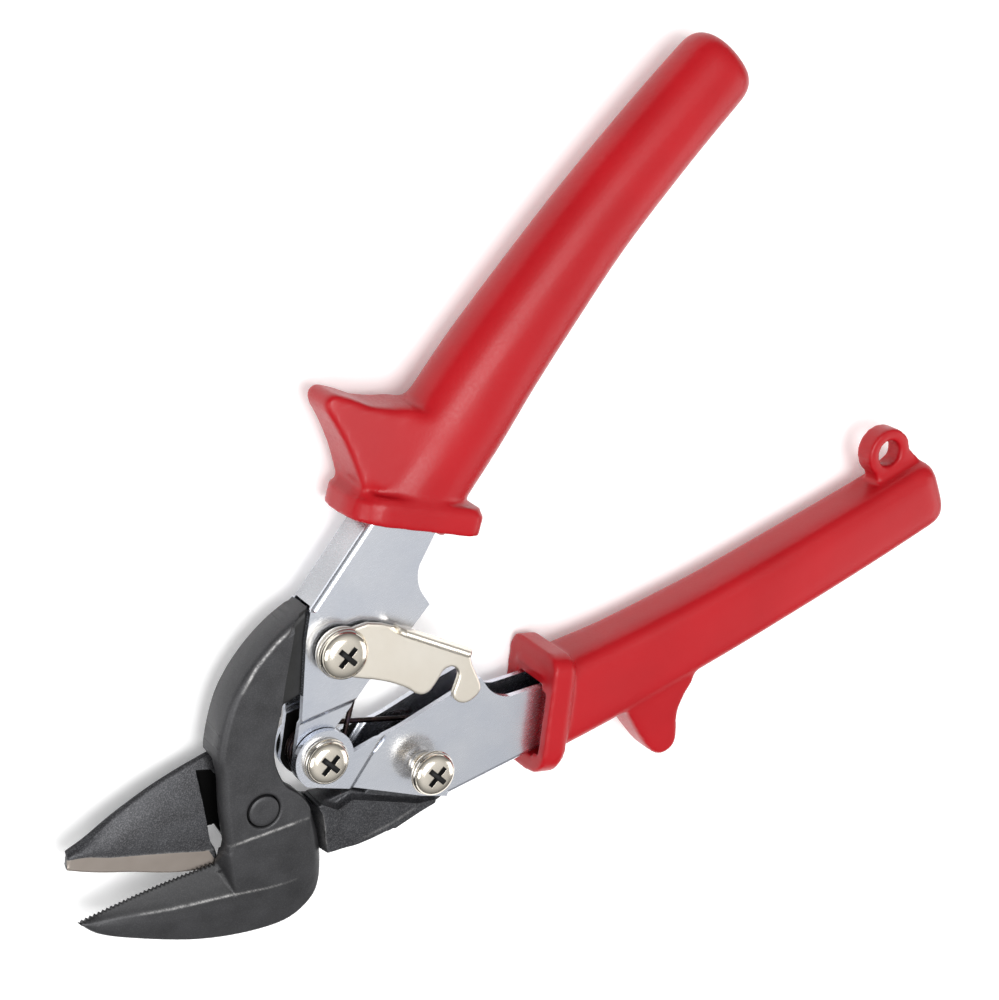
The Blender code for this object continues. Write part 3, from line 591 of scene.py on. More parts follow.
def sculpted_plate(outlines, holes, guides, top, bottom, spacing, rim, materials, wear_and_highlight=None, grounds=()):
    """A solid whose two faces are height fields over the union of some outlines.

    The rim's edges are rounded by a radius that may change from place to place. The wear and painted
    highlight go into an attribute; the faces inside each ground take the next material, some painted shade.
    """
    loops = [refined(loop, spacing) for loop in (*outlines, *holes)]
    rows = []
    for k, loop in enumerate(loops):
        sign = 1 if k < len(outlines) else -1
        widest = float(np.max(rim(np.array(loop))))
        for share in RIM_ROWS:
            rows.append(offset(loop, sign * widest * share))
    lines = [*loops, *rows, *[refined(loop, spacing) for loop in guides]]
    points = [point for line in lines for point in line]
    edges = []
    first = 0
    for line in lines:
        edges += [(first + k, first + (k + 1) % len(line)) for k in range(len(line))]
        first += len(line)
    corners = np.array([point for loop in loops for point in loop])
    low, high = corners.min(0), corners.max(0)
    xs = np.arange(low[0], high[0], spacing)
    ys = np.arange(low[1], high[1], spacing * ROW_HEIGHT)
    grid = np.array([(x + (k % 2) * spacing / 2, y) for k, y in enumerate(ys) for x in xs])

    def depth(places):
        inside = np.max([depth_inside(places, loop) for loop in outlines], axis=0)
        for hole in holes:
            inside = np.minimum(inside, -depth_inside(places, hole))
        return inside

    grid = grid[depth(grid) > spacing * 0.5]
    points += [tuple(point) for point in grid]
    found, _, faces, *_ = geometry.delaunay_2d_cdt([Vector(p) for p in points], edges, [], 0, 1e-4)
    flat = np.array([tuple(p) for p in found])
    faces = np.array(faces)
    faces = faces[depth(flat[faces].mean(1)) > 1e-4]
    area = np.cross(flat[faces[:, 1]] - flat[faces[:, 0]], flat[faces[:, 2]] - flat[faces[:, 0]])
    faces = faces[np.abs(area) > 1e-7]
    inside = np.maximum(depth(flat), 0)
    radius = rim(flat)
    short = np.clip(1 - inside / radius, 0, 1)
    drop = radius * (1 - np.sqrt(np.maximum(1 - short**2, 0)))
    drop = np.minimum(drop, 0.9 * radius)
    upper = top(flat)
    lower = bottom(flat)
    room = np.maximum((upper - lower) / 2 - 0.02, 0)
    upper = upper - np.minimum(drop, room)
    lower = lower + np.minimum(drop, room)
    mesh = bmesh.new()
    used = sorted(set(faces.ravel().tolist()))
    tops = {k: mesh.verts.new((*flat[k], upper[k])) for k in used}
    feet = {k: mesh.verts.new((*flat[k], lower[k])) for k in used}
    ground = np.zeros(len(faces), int)
    centres = flat[faces].mean(1)
    for number, loop in enumerate(grounds):
        ground = np.where(depth_inside(centres, loop) > 0, number + 1, ground)
    for (a, b, c), number in zip(faces.tolist(), ground.tolist()):
        mesh.faces.new((tops[a], tops[b], tops[c])).material_index = number
        mesh.faces.new((feet[c], feet[b], feet[a]))
    once = {}
    for a, b, c in faces.tolist():
        for start, end in ((a, b), (b, c), (c, a)):
            once.setdefault((min(start, end), max(start, end)), []).append((start, end))
    for pairs in once.values():
        if len(pairs) == 1:
            start, end = pairs[0]
            mesh.faces.new((tops[end], tops[start], feet[start], feet[end]))
    bmesh.ops.recalc_face_normals(mesh, faces=mesh.faces[:])
    made = helper_object(mesh, materials)
    # This attribute carries edge wear and a painted highlight along creases.
    if wear_and_highlight is not None:
        values = np.zeros(len(made.data.vertices), np.float32)
        wear_and_highlight_share = wear_and_highlight(flat)
        values[: len(used)] = wear_and_highlight_share[used]
        made.data.attributes.new("wear_and_highlight", "FLOAT", "POINT").data.foreach_set("value", values)
    return made


# ---------------------------------------------------------------- blades

EDGE_NOTCH = (-14.6, -4.6)
JAW_TIP = (-43.9, 7.4)
CUTTING_EDGE_HEIGHT = 0.7
BELLY = [JAW_TIP, (-42.6, 2.4), (-38.4, -4.0), (-29.5, -14.8), (-20.7, -22.6), (-11.6, -28.0)]
BELLY += [(-4.6, -28.4), (-0.1, -25.8), (4.0, -20.0), (6.4, -14.9), (7.8, -10.6)]
CREASE = [(-43.0, 7.1, 1.2), (-40.0, 4.4, 1.7), (-36.0, 1.6, 2.2), (-28.5, -3.9, 3.2), (-16.0, -12.0, 4.0)]
CREASE += [(-9.5, -16.7, 4.1), (-3.4, -20.0, 4.2), (0.4, -19.6, 4.2), (3.2, -16.6, 4.3), (5.2, -13.0, 4.5)]
CREASE += [(6.6, -9.9, 4.8)]
SHOULDER = (-10.6, -0.8)
NECK_CREASE = [SHOULDER, (-3.9, -4.1), (6.5, -9.2)]
VALLEY = [(-14.2, -4.0), (-14.6, -6.6), (-16.0, -12.2)]
TANG_OUTER = [(-2.9, 12.9), (-0.4, 17.9), (6.8, 24.7), (13.0, 28.2), (20.0, 30.4), (27.0, 31.3), (33.7, 31.0)]
TANG_INNER = [(29.3, 30.4), (25.7, 26.6), (21.0, 21.9), (17.0, 17.6), (14.6, 14.8)]
WAIST = [(12.0, 12.4), (9.3, 9.2), (7.7, 5.5), (7.1, 1.0), (8.2, -2.8), (8.4, -6.2)]
BACK_STEP = [(9.6, 12.6), (3.2, 14.9), (-0.9, 16.6)]
LUG_NECK = [(14.8, 15.2), (17.5, 15.9), (22.0, 15.0)]
LUG_TIP = [(33.7, 28.4), (33.7, 31.0), (27.5, 30.4), (20.0, 29.0), (12.5, 20.0)]
TOOTH_PITCH = 0.95
TOOTH_DEPTH = 0.5
BLADE_GRID = 0.38
BORE = 3.0
WEAR_AND_HIGHLIGHT_FADE = 0.12


def toothed(line):
    """The cutting edge with its fine saw teeth."""
    length = sum(math.dist(a[:2], b[:2]) for a, b in zip(line, line[1:]))
    count = 2 * round(length / TOOTH_PITCH) + 1
    points = along(line, count)
    ahead = np.gradient(points, axis=0)
    normal = np.stack([ahead[:, 1], -ahead[:, 0]], axis=1) / np.linalg.norm(ahead, axis=1)[:, None]
    lifts = np.where(np.arange(count) % 2 == 0, 0.0, -TOOTH_DEPTH)
    lifts[[0, -1]] = 0
    return [tuple(point) for point in points + normal * lifts[:, None]]


def wear_and_highlight_along(marks):
    """Wear and painted highlight along lines: each with its width, its strength and the two shares between
    which it shows.
    """

    def wear_and_highlight(places):
        wear_and_highlight_share = np.zeros(len(places))
        for line, width, most, (start, end) in marks:
            far, at = line_distance(places, line)
            rise = np.clip((at - start + WEAR_AND_HIGHLIGHT_FADE) / (2 * WEAR_AND_HIGHLIGHT_FADE), 0, 1)
            fall = np.clip((end - at + WEAR_AND_HIGHLIGHT_FADE) / (2 * WEAR_AND_HIGHLIGHT_FADE), 0, 1)
            wear_and_highlight_share = np.maximum(wear_and_highlight_share, most * rise * fall * np.exp(-((far / width) ** 2)))
        return wear_and_highlight_share

    return wear_and_highlight


def lug_outline():
    return [*LUG_NECK, *arc(UPPER_TANG, 7.6, -100, 65, 18), *LUG_TIP]


def lower_jaw_blade():
    edge = smooth([EDGE_NOTCH, (-28.1, 1.5), JAW_TIP], 8)
    belly = smooth(BELLY, 5)
    tang = smooth([SHOULDER, (-7.2, 5.9), *TANG_OUTER], 5)
    inner = smooth(TANG_INNER, 4)
    waist = smooth([*WAIST, BELLY[-1]], 4)
    front = [*toothed(edge), *belly[1:], *reversed(waist[:-1]), *reversed(inner), *reversed(tang)]
    outer = smooth(TANG_OUTER[1:], 5)
    root = [*BACK_STEP, *[(x * 0.995, y - 0.2) for x, y in outer]]
    root += [*[(x - 0.1, y - 0.1) for x, y in TANG_INNER], (12.4, 12.9)]
    lug = lug_outline()

    crease = smooth(CREASE, 4)
    corner = CREASE[4]
    rake_end = min(range(len(crease)), key=lambda k: math.dist(crease[k][:2], corner[:2]))
    heights = [1.4 + 1.2 * k / (len(belly) - 1) for k in range(len(belly))]
    foot = [(*point, height) for point, height in zip(belly, heights)]
    lip = [(*point, CUTTING_EDGE_HEIGHT) for point in edge]
    neck = [(*point, BLADE) for point in NECK_CREASE]
    level = [(*point, BLADE) for point in (SHOULDER, *TANG_OUTER, *TANG_INNER, *WAIST)] + neck[:0:-1]
    notch = [lip[0], neck[0], crease[rake_end]]
    rake = strip(lip, list(reversed(crease[: rake_end + 1])), 3, -0.18)
    facet = strip(neck, crease[rake_end:], 3, 0.1)
    surface = Facets([level, notch, *facet, *rake, *strip(foot, crease, 3, 0.3)])

    def top(places):
        relief = surface.softened(places, 0.42)
        far, share = line_distance(places, VALLEY)
        relief = relief - 0.35 * np.exp(-((far / 0.32) ** 2)) * np.clip(share * 6, 0, 1)
        front_share = step_at(depth_inside(places, front))
        return TANG_HALF + (relief - TANG_HALF) * front_share

    def bottom(places):
        at_lug = step_at(depth_inside(places, lug))
        at_root = step_at(depth_inside(places, root))
        low = SHEAR_GAP + (-TANG_HALF - SHEAR_GAP) * at_lug
        return low + (-BLADE + 0.1 - low) * at_root

    def rim(places):
        teeth, _ = line_distance(places, edge)
        tang_side, _ = line_distance(places, tang)
        return np.where(teeth < 1.0, 0.12, np.where(tang_side < 2.0, 1.7, 0.6))

    # Creases that turn bright: edge wear and a painted highlight.
    creases = (
        (NECK_CREASE, 0.24, 0.95, (0.1, 0.92)),
        (crease[4:25], 0.2, 0.7, (0.25, 0.9)),
        ([(11.9, 26.2), (17.5, 28.7), (23.9, 30.0), (29.0, 30.2)], 0.26, 0.6, (0.05, 0.9)),
    )

    hole = circle(MAIN_PIVOT, BOLT_RADIUS + 0.3, 64)
    bore = circle(UPPER_TANG, BORE, 32)
    # The strip beside the tang's inner edge takes near-black steel and the rake face a darker steel: both
    # painted shade.
    surfaces = [FORGED, PAINTED_RECESS_SHADE, RAKE_PAINTED_SHADE]
    dark = [*reversed(TANG_INNER), (33.9, 32.0), (36.0, 10.0), (14.8, 13.0)]
    shaded_rake = [point[:2] for point in (*lip, *crease[: rake_end + 1])]
    solids = [front, root, lug]
    guides = [*[offset(loop, -STEP) for loop in solids], root, offset(root, 0.3), dark]
    wear_and_highlight, grounds = wear_and_highlight_along(creases), [dark, shaded_rake]
    blade = sculpted_plate(
        solids, [hole, bore], guides, top, bottom, BLADE_GRID, rim, surfaces, wear_and_highlight, grounds
    )
    finish_piece("lower_jaw_blade_forged", blade, "lower_blade", ["lower_jaw_blade"], 60)


UPPER_EDGE = [(-38.4, 18.3), (-35.9, 15.0), (-33.0, 11.6), (-29.2, 7.6), (-21.9, -0.6), (-14.4, -6.6)]
LAND_TOP = [(-37.5, 20.4), (-33.8, 17.6), (-30.2, 13.6), (-25.5, 9.2), (-19.6, 3.6), (-14.0, -1.7)]
FLANK_TOP = [(-36.2, 21.2), (-31.4, 20.4), (-24.6, 20.0), (-16.0, 18.9), (-9.0, 17.4), (-2.6, 15.6)]
PAST_ROOT = ((-9.6, -9.4), (-8.4, -4.6), (2.4, 14.2))
UPPER_ROOT = [(-12.3, -6.2), (-9.3, -9.7), (-4.0, -14.4), (2.0, -18.6), (7.9, -21.8), (11.5, -24.0)]
UPPER_ROOT += [(17.9, -26.5), (24.7, -28.2), (30.4, -29.6), (31.0, -29.0)]
PANEL_INNER = [(27.2, -26.4), (16.4, -13.6), (12.4, -12.9)]
PANEL_STEP = [(10.4, -9.0), (9.5, -9.0), (9.2, -11.2), (7.8, -14.2), (6.2, -17.0), (4.9, -19.8)]
RECESS_TOP = [(17.6, -12.4), (15.2, -11.3), (12.6, -10.4), (10.4, -8.8)]
MIRRORED_WAIST = [(12.2, -12.6), (9.3, -9.2), (7.7, -5.5), (7.1, -1.0), (8.2, 2.8), (8.2, 6.6)]
NECK_TOP = [(7.0, 9.2), (3.4, 10.6), (-1.0, 11.4), (-4.6, 11.8), (-8.0, 5.6)]
GROOVE = [(-13.0, -6.5), (-10.0, -1.5), (-8.6, -1.2), (-1.6, 11.0), (-5.2, 14.2), (-12.6, -0.4)]
THROAT = [(-10.2, -8.4), (-9.4, 0.4), (-10.9, 1.2), (-12.6, -2.1), (-13.5, -4.9), (-13.3, -8.4)]
PIT_DEPTH = 2.9
PIT_WALL = 0.25


def upper_jaw_blade():
    edge, land, crown = (
        smooth([*line, past], 5) for line, past in zip((UPPER_EDGE, LAND_TOP, FLANK_TOP), PAST_ROOT)
    )
    share = np.clip(np.linspace(0, 1.2, len(edge)), 0, 1)
    deep = BLADE * (0.45 + 0.55 * share)
    land_line = [(*point, -SHEAR_GAP) for point in land]
    edge_line = [(*point, -SHEAR_GAP) for point in edge]
    crown_line = [(*point, -0.75 * low) for point, low in zip(crown, deep)]
    flank = strip(land_line, crown_line, 6, 0.55)
    front = Facets([*strip(edge_line, land_line, 1), *flank])
    back_line = []
    for e, c, low in zip(edge, crown, deep):
        back_line.append((0.8 * e[0] + 0.2 * c[0], 0.8 * e[1] + 0.2 * c[1], -low))
    back_edge = [(*point, -0.9) for point in edge]
    back_crown = [(*point, -low) for point, low in zip(crown, deep)]
    behind = Facets([*strip(back_edge, back_line, 2, -0.2), *strip(back_line, back_crown, 1)])

    jaw = [*edge, *reversed(crown)]
    root_line = smooth(UPPER_ROOT[:-1], 4)
    waist = smooth(MIRRORED_WAIST, 4)
    neck = smooth(NECK_TOP, 4)
    plate = [*root_line, UPPER_ROOT[-1], *PANEL_INNER[:-1], *waist, *neck]
    panel = [*UPPER_ROOT[4:], *PANEL_INNER, *smooth(PANEL_STEP, 4)]
    recess = [(16.0, -24.0), (27.0, -27.0), *RECESS_TOP, (9.7, -10.0), (8.8, -14.2)]
    lug = mirrored(lug_outline())
    land_loop = [*edge[:26], *reversed(land[:26])]

    def top(places):
        in_plate = depth_inside(places, plate)
        in_jaw = depth_inside(places, jaw)
        height = np.where((in_jaw > -0.1) & (in_plate < 0), front.softened(places, 0.3), -SHEAR_GAP)
        pit = depth_inside(places, GROOVE)
        floor = -SHEAR_GAP - PIT_DEPTH * np.clip(pit / PIT_WALL, 0, 1)
        height = np.minimum(height, np.where(pit > 0, floor, 9))
        raised = ((lug, TANG_HALF, STEP), (recess, TANG_HALF, STEP), (panel, BLADE - 0.1, 0.8))
        for loop, level, width in raised:
            share_in = step_at(depth_inside(places, loop), width)
            height = np.maximum(height, height + (level - height) * share_in)
        return height

    def bottom(places):
        in_jaw = step_at(depth_inside(places, jaw), 0.05)
        in_plate = step_at(depth_inside(places, plate))
        jaw_low = np.where(in_jaw > 0, behind.softened(places, 0.3), -TANG_HALF)
        return np.where(in_plate > 0, -TANG_HALF + (0.1 - BLADE + TANG_HALF) * in_plate, jaw_low)

    def rim(places):
        cutting, _ = line_distance(places, edge)
        steps, _ = line_distance(places, crown)
        return np.where(cutting < 1.0, 0.1, np.where(steps < 1.4, 0.9, 0.5))

    # Lines that turn bright: edge wear and a painted highlight along the land and the panel's edges.
    marks = (
        (land_line, 0.18, 0.35, (0.1, 1.0)),
        (PANEL_STEP[1:], 0.25, 0.3, (0.2, 0.9)),
        ([(12.0, -23.0), (20.0, -25.6), (27.0, -27.0)], 0.3, 0.25, (0.1, 0.9)),
    )

    hole = circle(MAIN_PIVOT, BOLT_RADIUS + 0.3, 64)
    bore = mirrored(circle(UPPER_TANG, BORE, 32))
    guides = [land_loop, offset(panel, -STEP), panel, offset(recess, -STEP), recess]
    guides += [offset(lug, -STEP), GROOVE, offset(GROOVE, -PIT_WALL), plate, offset(plate, -STEP)]
    solids, holes = [jaw, plate, panel, recess, lug], [hole, bore, THROAT]
    # The groove takes near-black steel, a painted shadow; the land keeps its bright ground steel.
    surfaces, grounds = [JAW_STEEL, GROOVE_PAINTED_SHADOW, LAND_STEEL], [GROOVE, land_loop]
    wear_and_highlight = wear_and_highlight_along(marks)
    blade = sculpted_plate(solids, holes, guides, top, bottom, BLADE_GRID, rim, surfaces, wear_and_highlight, grounds)
    finish_piece("upper_jaw_blade_forged", blade, "upper_blade", ["upper_jaw_blade"], 60)


# ---------------------------------------------------------------- handles

EAR_RADIUS = 6.9
WEB_FRONT = (34.0, 30.6)
WEB_LINE = [(60.0, 39.4), (84.0, 44.6), (110.0, 51.0)]
FLANGE_FRONT = [(33.4, 30.4), (29.0, 25.6), (18.2, 11.2)]
MOUTH_ARC = ((63.5, 14.9), 8.3, 128, 178, 12)
FLANGE_BACK = [(110.0, 43.0), (84.0, 33.5), (75.0, 29.5), (66.0, 25.4)]
JOGGLE_START = (10.4, 13.4)
JOGGLE_END = (34.0, 4.1)
BEND_RADIUS = 1.4
JOGGLE_CRACK = [(30.6, -6.6), (28.8, -6.5), (27.0, -7.1), (25.2, -8.0), (27.2, -7.8), (29.2, -7.3)]


def handle_channel(word, body, flip):
    """A bent sheet channel: flanges with a joggled ear at the front, and a web with a true bend radius."""
    side = mirrored if flip else list
    shift = JOGGLE if flip else -JOGGLE
    x, y = HANDLE_PIVOT
    back = [*FLANGE_BACK, *arc(*MOUTH_ARC), (55.2, 12.0), (47.5, 10.0), (34.2, 7.3), (30.6, 6.2), (28.4, 4.9)]
    ear = arc((x, y), EAR_RADIUS, 160, 390, 40)
    outline = [*reversed(FLANGE_FRONT), WEB_FRONT, *WEB_LINE, *back, *reversed(ear)]
    solid = prism(side(list(reversed(outline))), -CHANNEL_HALF, CHANNEL_HALF)
    solid.edges.ensure_lookup_table()
    web = [Vector(point) for point in side([WEB_FRONT, *WEB_LINE])]

    def on_web(vert):
        return any((vert.co.xy - point).length < 0.01 for point in web)

    level = [e for e in solid.edges if e.verts[0].co.z == e.verts[1].co.z]
    corners = [e for e in level if all(on_web(v) for v in e.verts)]
    bmesh.ops.bevel(solid, geom=corners, offset=BEND_RADIUS, segments=6, affect="EDGES", profile=0.5)
    inner = [(px, py - SHEET * 1.05) for px, py in WEB_LINE]
    hollow = [(2.0, -12.0), (60.0, -4.0), (130.0, 20.0), (112.0, inner[-1][1]), *reversed(inner)]
    hollow += [(34.6, 29.4), (33.7, 34.0), (2.0, 34.0)]
    inside = CHANNEL_HALF - SHEET
    cutter = prism(side(hollow), -inside, inside)
    # The hollow's faces take near-black zinc: painted shade inside the channel.
    for face in cutter.faces:
        face.material_index = 1
    channel = helper_object(solid, [ZINC, ZINC_PAINTED_SHADE, ZINC_WEB_PAINTED_SHADE])
    tang = LOWER_TANG if flip else UPPER_TANG
    holes = [("DIFFERENCE", prism(circle(point, SCREW_RADIUS + 0.3, 40), -9, 9)) for point in ((x, y), tang)]
    if flip:
        # The crack's faces take the near-black zinc too: painted shade in a small slot.
        crack = prism(JOGGLE_CRACK, CHANNEL_HALF - 0.7, CHANNEL_HALF + 1)
        for face in crack.faces:
            face.material_index = 1
        holes.append(("DIFFERENCE", crack))
    channel = combined(channel, ("DIFFERENCE", cutter), *holes)

    mesh = bmesh.new()
    mesh.from_mesh(channel.data)
    start, end = [Vector((*point, 0)) for point in side([JOGGLE_START, JOGGLE_END])[:: -1 if flip else 1]]
    line = (end - start).normalized()
    across = Vector((line.y, -line.x, 0)) * (-1 if flip else 1)
    reach = 1.5
    for k in range(6):
        place = start + across * (reach * k / 5 - reach / 2)
        everything = mesh.verts[:] + mesh.edges[:] + mesh.faces[:]
        bmesh.ops.bisect_plane(mesh, geom=everything, plane_co=place, plane_no=across)
    for vert in mesh.verts:
        t = (vert.co - start).dot(across) / reach + 0.5
        t = min(max(t, 0.0), 1.0)
        vert.co.z += math.copysign(1, vert.co.z) * shift * t * t * (3 - 2 * t)
    bmesh.ops.dissolve_degenerate(mesh, dist=0.005, edges=mesh.edges[:])
    # Faces on the ear's side of the joggle keep plain zinc, out of the painted inner shade; the web's side
    # faces take the darker zinc as painted shade.
    for face in mesh.faces:
        middle = face.calc_center_median()
        if (middle - start).dot(across) < reach / 2:
            face.material_index = 0
        far, _ = line_distance(np.array([middle.xy]), side([WEB_FRONT, *WEB_LINE]))
        if abs(face.normal.z) < 0.3 and far[0] < 0.1:
            face.material_index = 2
    mesh.to_mesh(channel.data)
    mesh.free()
    channel = bevelled(channel, 0.22, 2, 40)
    name = word + "_handle_channel"
    finish_piece(name + "_sheet", channel, body, [name], 35, True)


# Each grip's stations: x, y, half width and half height.
UPPER_GRIP = [(62.0, 33.0, 12.6, 9.4), (70.0, 36.0, 12.2, 9.2), (84.0, 40.8, 12.0, 9.0)]
UPPER_GRIP += [(98.0, 45.8, 11.4, 8.8), (115.0, 51.1, 10.7, 8.4), (133.0, 56.3, 10.0, 8.0)]
UPPER_GRIP += [(155.0, 61.3, 9.6, 7.7), (174.4, 65.0, 9.3, 7.5)]
LOWER_GRIP = [(63.5, -31.6, 10.6, 8.4), (74.0, -35.4, 10.4, 8.0), (85.0, -39.2, 10.0, 7.6)]
LOWER_GRIP += [(101.5, -44.1, 9.6, 7.5), (115.0, -47.9, 9.4, 7.4), (137.0, -53.4, 9.2, 7.4)]
LOWER_GRIP += [(156.0, -58.0, 9.0, 7.2), (172.4, -61.6, 8.8, 7.1)]
GRIP_DOME = ((1.3, 0.985), (2.6, 0.94), (3.7, 0.86), (4.5, 0.75), (5.0, 0.6), (5.3, 0.35))
GRIP_VOXEL = 0.5
GUARD_ANGLE = 40.0
UPPER_GUARD_TURN = 1.6  # how much further the upper guard is turned
LOOP_CENTRE = (170.5, -46.1)


def grip_body(stations, power, sides=64):
    """A grip lofted along (x, y, half width, half height), with a domed end."""
    stations = smooth(stations, 4)
    points = [Vector(station[:2]) for station in stations]
    rings = []
    for k, station in enumerate(stations):
        ahead = points[min(k + 1, len(points) - 1)] - points[max(k - 1, 0)]
        rings.append((points[k], ahead.normalized(), station[2], station[3]))
    centre, unit, width, height = rings[-1]
    for reach, share in GRIP_DOME:
        rings.append((centre + unit * reach, unit, width * share, height * share))
    sections = []
    for middle, unit, width, height in rings:
        across = Vector((-unit.y, unit.x, 0))
        ring = []
        for k in range(sides):
            c, s = math.cos(2 * math.pi * k / sides), math.sin(2 * math.pi * k / sides)
            w = width * math.copysign(abs(c) ** (2 / power), c)
            h = height * math.copysign(abs(s) ** (2 / power), s)
            ring.append(Vector((middle.x, middle.y, 0)) + across * w + Vector((0, 0, h)))
        sections.append(ring)
    return loft(sections)


def guard_slab(flip, reach, half, corners, near, far, centre):
    """A rounded slab across a grip, between two distances along the grip's own direction.

    It reaches from its inner side to its outer, web side, and has its own corner radius on each of them.
    """
    sides = ((0, -1), (1, -1), (1, 1), (0, 1))
    outline = rounded([(reach[k], sz * half, corners[k]) for k, sz in sides])
    if flip:
        outline = [(-x, y) for x, y in reversed(outline)]
    slab = prism(outline, near, far)
    angle = math.radians(-GUARD_ANGLE if flip else GUARD_ANGLE + UPPER_GUARD_TURN)
    ahead = Vector((math.cos(angle), math.sin(angle), 0))
    up = Vector((0, 0, 1))
    facing = Matrix((up.cross(ahead), up, ahead)).transposed()
    bmesh.ops.rotate(slab, verts=slab.verts[:], cent=(0, 0, 0), matrix=facing)
    bmesh.ops.translate(slab, verts=slab.verts[:], vec=(*centre, 0))
    bmesh.ops.recalc_face_normals(slab, faces=slab.faces[:])
    return slab


def channel_pocket(flip):
    """The room that the channel takes inside its grip."""
    outer = [(50.0, 37.2), (60.0, 40.0), (84.0, 45.1), (110.6, 51.7)]
    inner = [(110.6, 42.5), (84.0, 33.0), (75.0, 29.0), (66.0, 24.9), (56.0, 17.0)]
    outline = list(reversed(outer + inner))
    half = CHANNEL_HALF + 0.3
    return prism(mirrored(outline) if flip else outline, -half, half)


def melted(target, voxel, passes):
    """One skin over overlapping solids, smoothed so that its inner and outer edges are soft."""
    skin = target.modifiers.new("skin", "REMESH")
    skin.mode = "VOXEL"
    skin.voxel_size = voxel
    soft = target.modifiers.new("soft", "SMOOTH")
    soft.factor = 0.5
    soft.iterations = passes
    return settled(target)


def melted_at(target, centre, reach, passes):
    """Smooths a skin a good deal more near one place, where two shapes flow into each other."""
    near = target.vertex_groups.new(name="near")
    for vert in target.data.vertices:
        share = 1.4 - (vert.co.xy - Vector(centre)).length / reach
        if share > 0:
            near.add([vert.index], min(share, 1.0), "REPLACE")
    soft = target.modifiers.new("flow", "SMOOTH")
    soft.factor = 0.5
    soft.iterations = passes
    soft.vertex_group = "near"
    target = settled(target)
    target.vertex_groups.clear()
    return target


def moulded(body, passes, details, cuts, flows=()):
    """A moulded skin: a soft body, then crisper details and hollows."""
    soft_body = melted(helper_object(joined(body), [VINYL]), GRIP_VOXEL, passes)
    for flow in flows:
        soft_body = melted_at(soft_body, *flow)
    whole = joined(details)
    whole.from_mesh(soft_body.data)
    bpy.data.objects.remove(soft_body)
    skin = melted(helper_object(whole, [VINYL]), GRIP_VOXEL, 4)
    skin = combined(skin, *[("DIFFERENCE", cut) for cut in cuts])
    skin = melted(skin, GRIP_VOXEL, 2)
    for vert in skin.data.vertices:
        vert.co.z = max(vert.co.z, -REST_HEIGHT)
    return skin


def tapered_prism(outline, tip, ahead, thin, growth):
    """A plate whose half thickness grows steadily along a direction from its tip, so its sides stay flat."""
    mesh = prism(outline, -1, 1)
    unit = Vector((*ahead, 0)).normalized()
    for vert in mesh.verts:
        reach = (vert.co - Vector((*tip, vert.co.z))).dot(unit)
        vert.co.z *= thin + growth * max(reach, 0)
    return mesh


def upper_grip():
    centre = (63.1, 33.0)
    horn = [(57.0, 46.0), (58.8, 52.0), (59.8, 57.0), (60.3, 62.0), (60.4, 64.2), (61.2, 66.0), (62.6, 66.6)]
    horn += [(64.0, 66.2), (66.4, 62.9), (69.0, 58.6), (72.4, 55.4), (76.4, 52.6), (79.0, 46.0), (70.0, 34.0)]
    body = [
        grip_body(UPPER_GRIP, 2.25),
        tapered_prism(list(reversed(horn)), (62.0, 66.4), (0.3, -1.0), 5.0, 0.12),
    ]
    details = [
        guard_slab(False, (-16.4, 15.6), 10.2, (3.6, 7.5), -2.7, 2.2, centre),
        guard_slab(False, (-15.4, 14.6), 9.7, (3.2, 7.0), 1.5, 3.5, centre),
    ]
    cuts = [channel_pocket(False), guard_slab(False, (-6.0, 9.4), 7.2, (1.0, 1.0), -6.0, 0.4, centre)]
    grip = moulded(body, 14, details, cuts, [((79.0, 48.0), 9.0, 130)])
    finish_piece("upper_grip_vinyl", grip, "upper_handle", ["upper_grip"], 0)


def lower_grip():
    centre = (63.3, -31.9)
    fin = [(79.4, -42.0), (78.6, -50.0), (78.6, -59.4), (79.6, -64.6), (81.8, -66.9), (84.8, -66.9)]
    fin += [(87.0, -64.4), (89.4, -59.4), (93.0, -56.2), (98.0, -53.0), (100.0, -45.0)]
    ring = [(177.6, -56.0), *arc(LOOP_CENTRE, 6.2, -30, 200, 28), (163.2, -54.0)]
    body = [
        grip_body(LOWER_GRIP, 4.2),
        tapered_prism(smooth(fin, 3), (83.4, -67.0), (0.2, 1.0), 3.4, 0.15),
    ]
    details = [
        guard_slab(True, (-14.9, 14.7), 10.2, (3.8, 6.5), -2.8, 2.3, centre),
        guard_slab(True, (-13.9, 13.7), 9.6, (3.4, 6.0), 1.5, 3.5, centre),
        prism(ring, -2.7, 2.7, [circle(LOOP_CENTRE, 3.3, 32)]),
    ]
    cuts = [channel_pocket(True), guard_slab(True, (-5.6, 9.6), 7.3, (1.0, 1.0), -6.0, 0.4, centre)]
    grip = moulded(body, 10, details, cuts)
    finish_piece("lower_grip_vinyl", grip, "lower_handle", ["lower_grip"], 0)


# ---------------------------------------------------------------- fasteners


def cross_ring(centre, height, long, short):
    """The outline of a Phillips cross at a height."""
    quarter = [(short, short), (short, long), (-short, long)]
    signs = []
    for _ in range(4):
        signs += quarter
        quarter = [(-y, x) for x, y in quarter]
    turn = Matrix.Rotation(math.radians(PHILLIPS_TURN), 2)
    return [(*(Vector(centre) + turn @ Vector(spot)), height) for spot in signs]


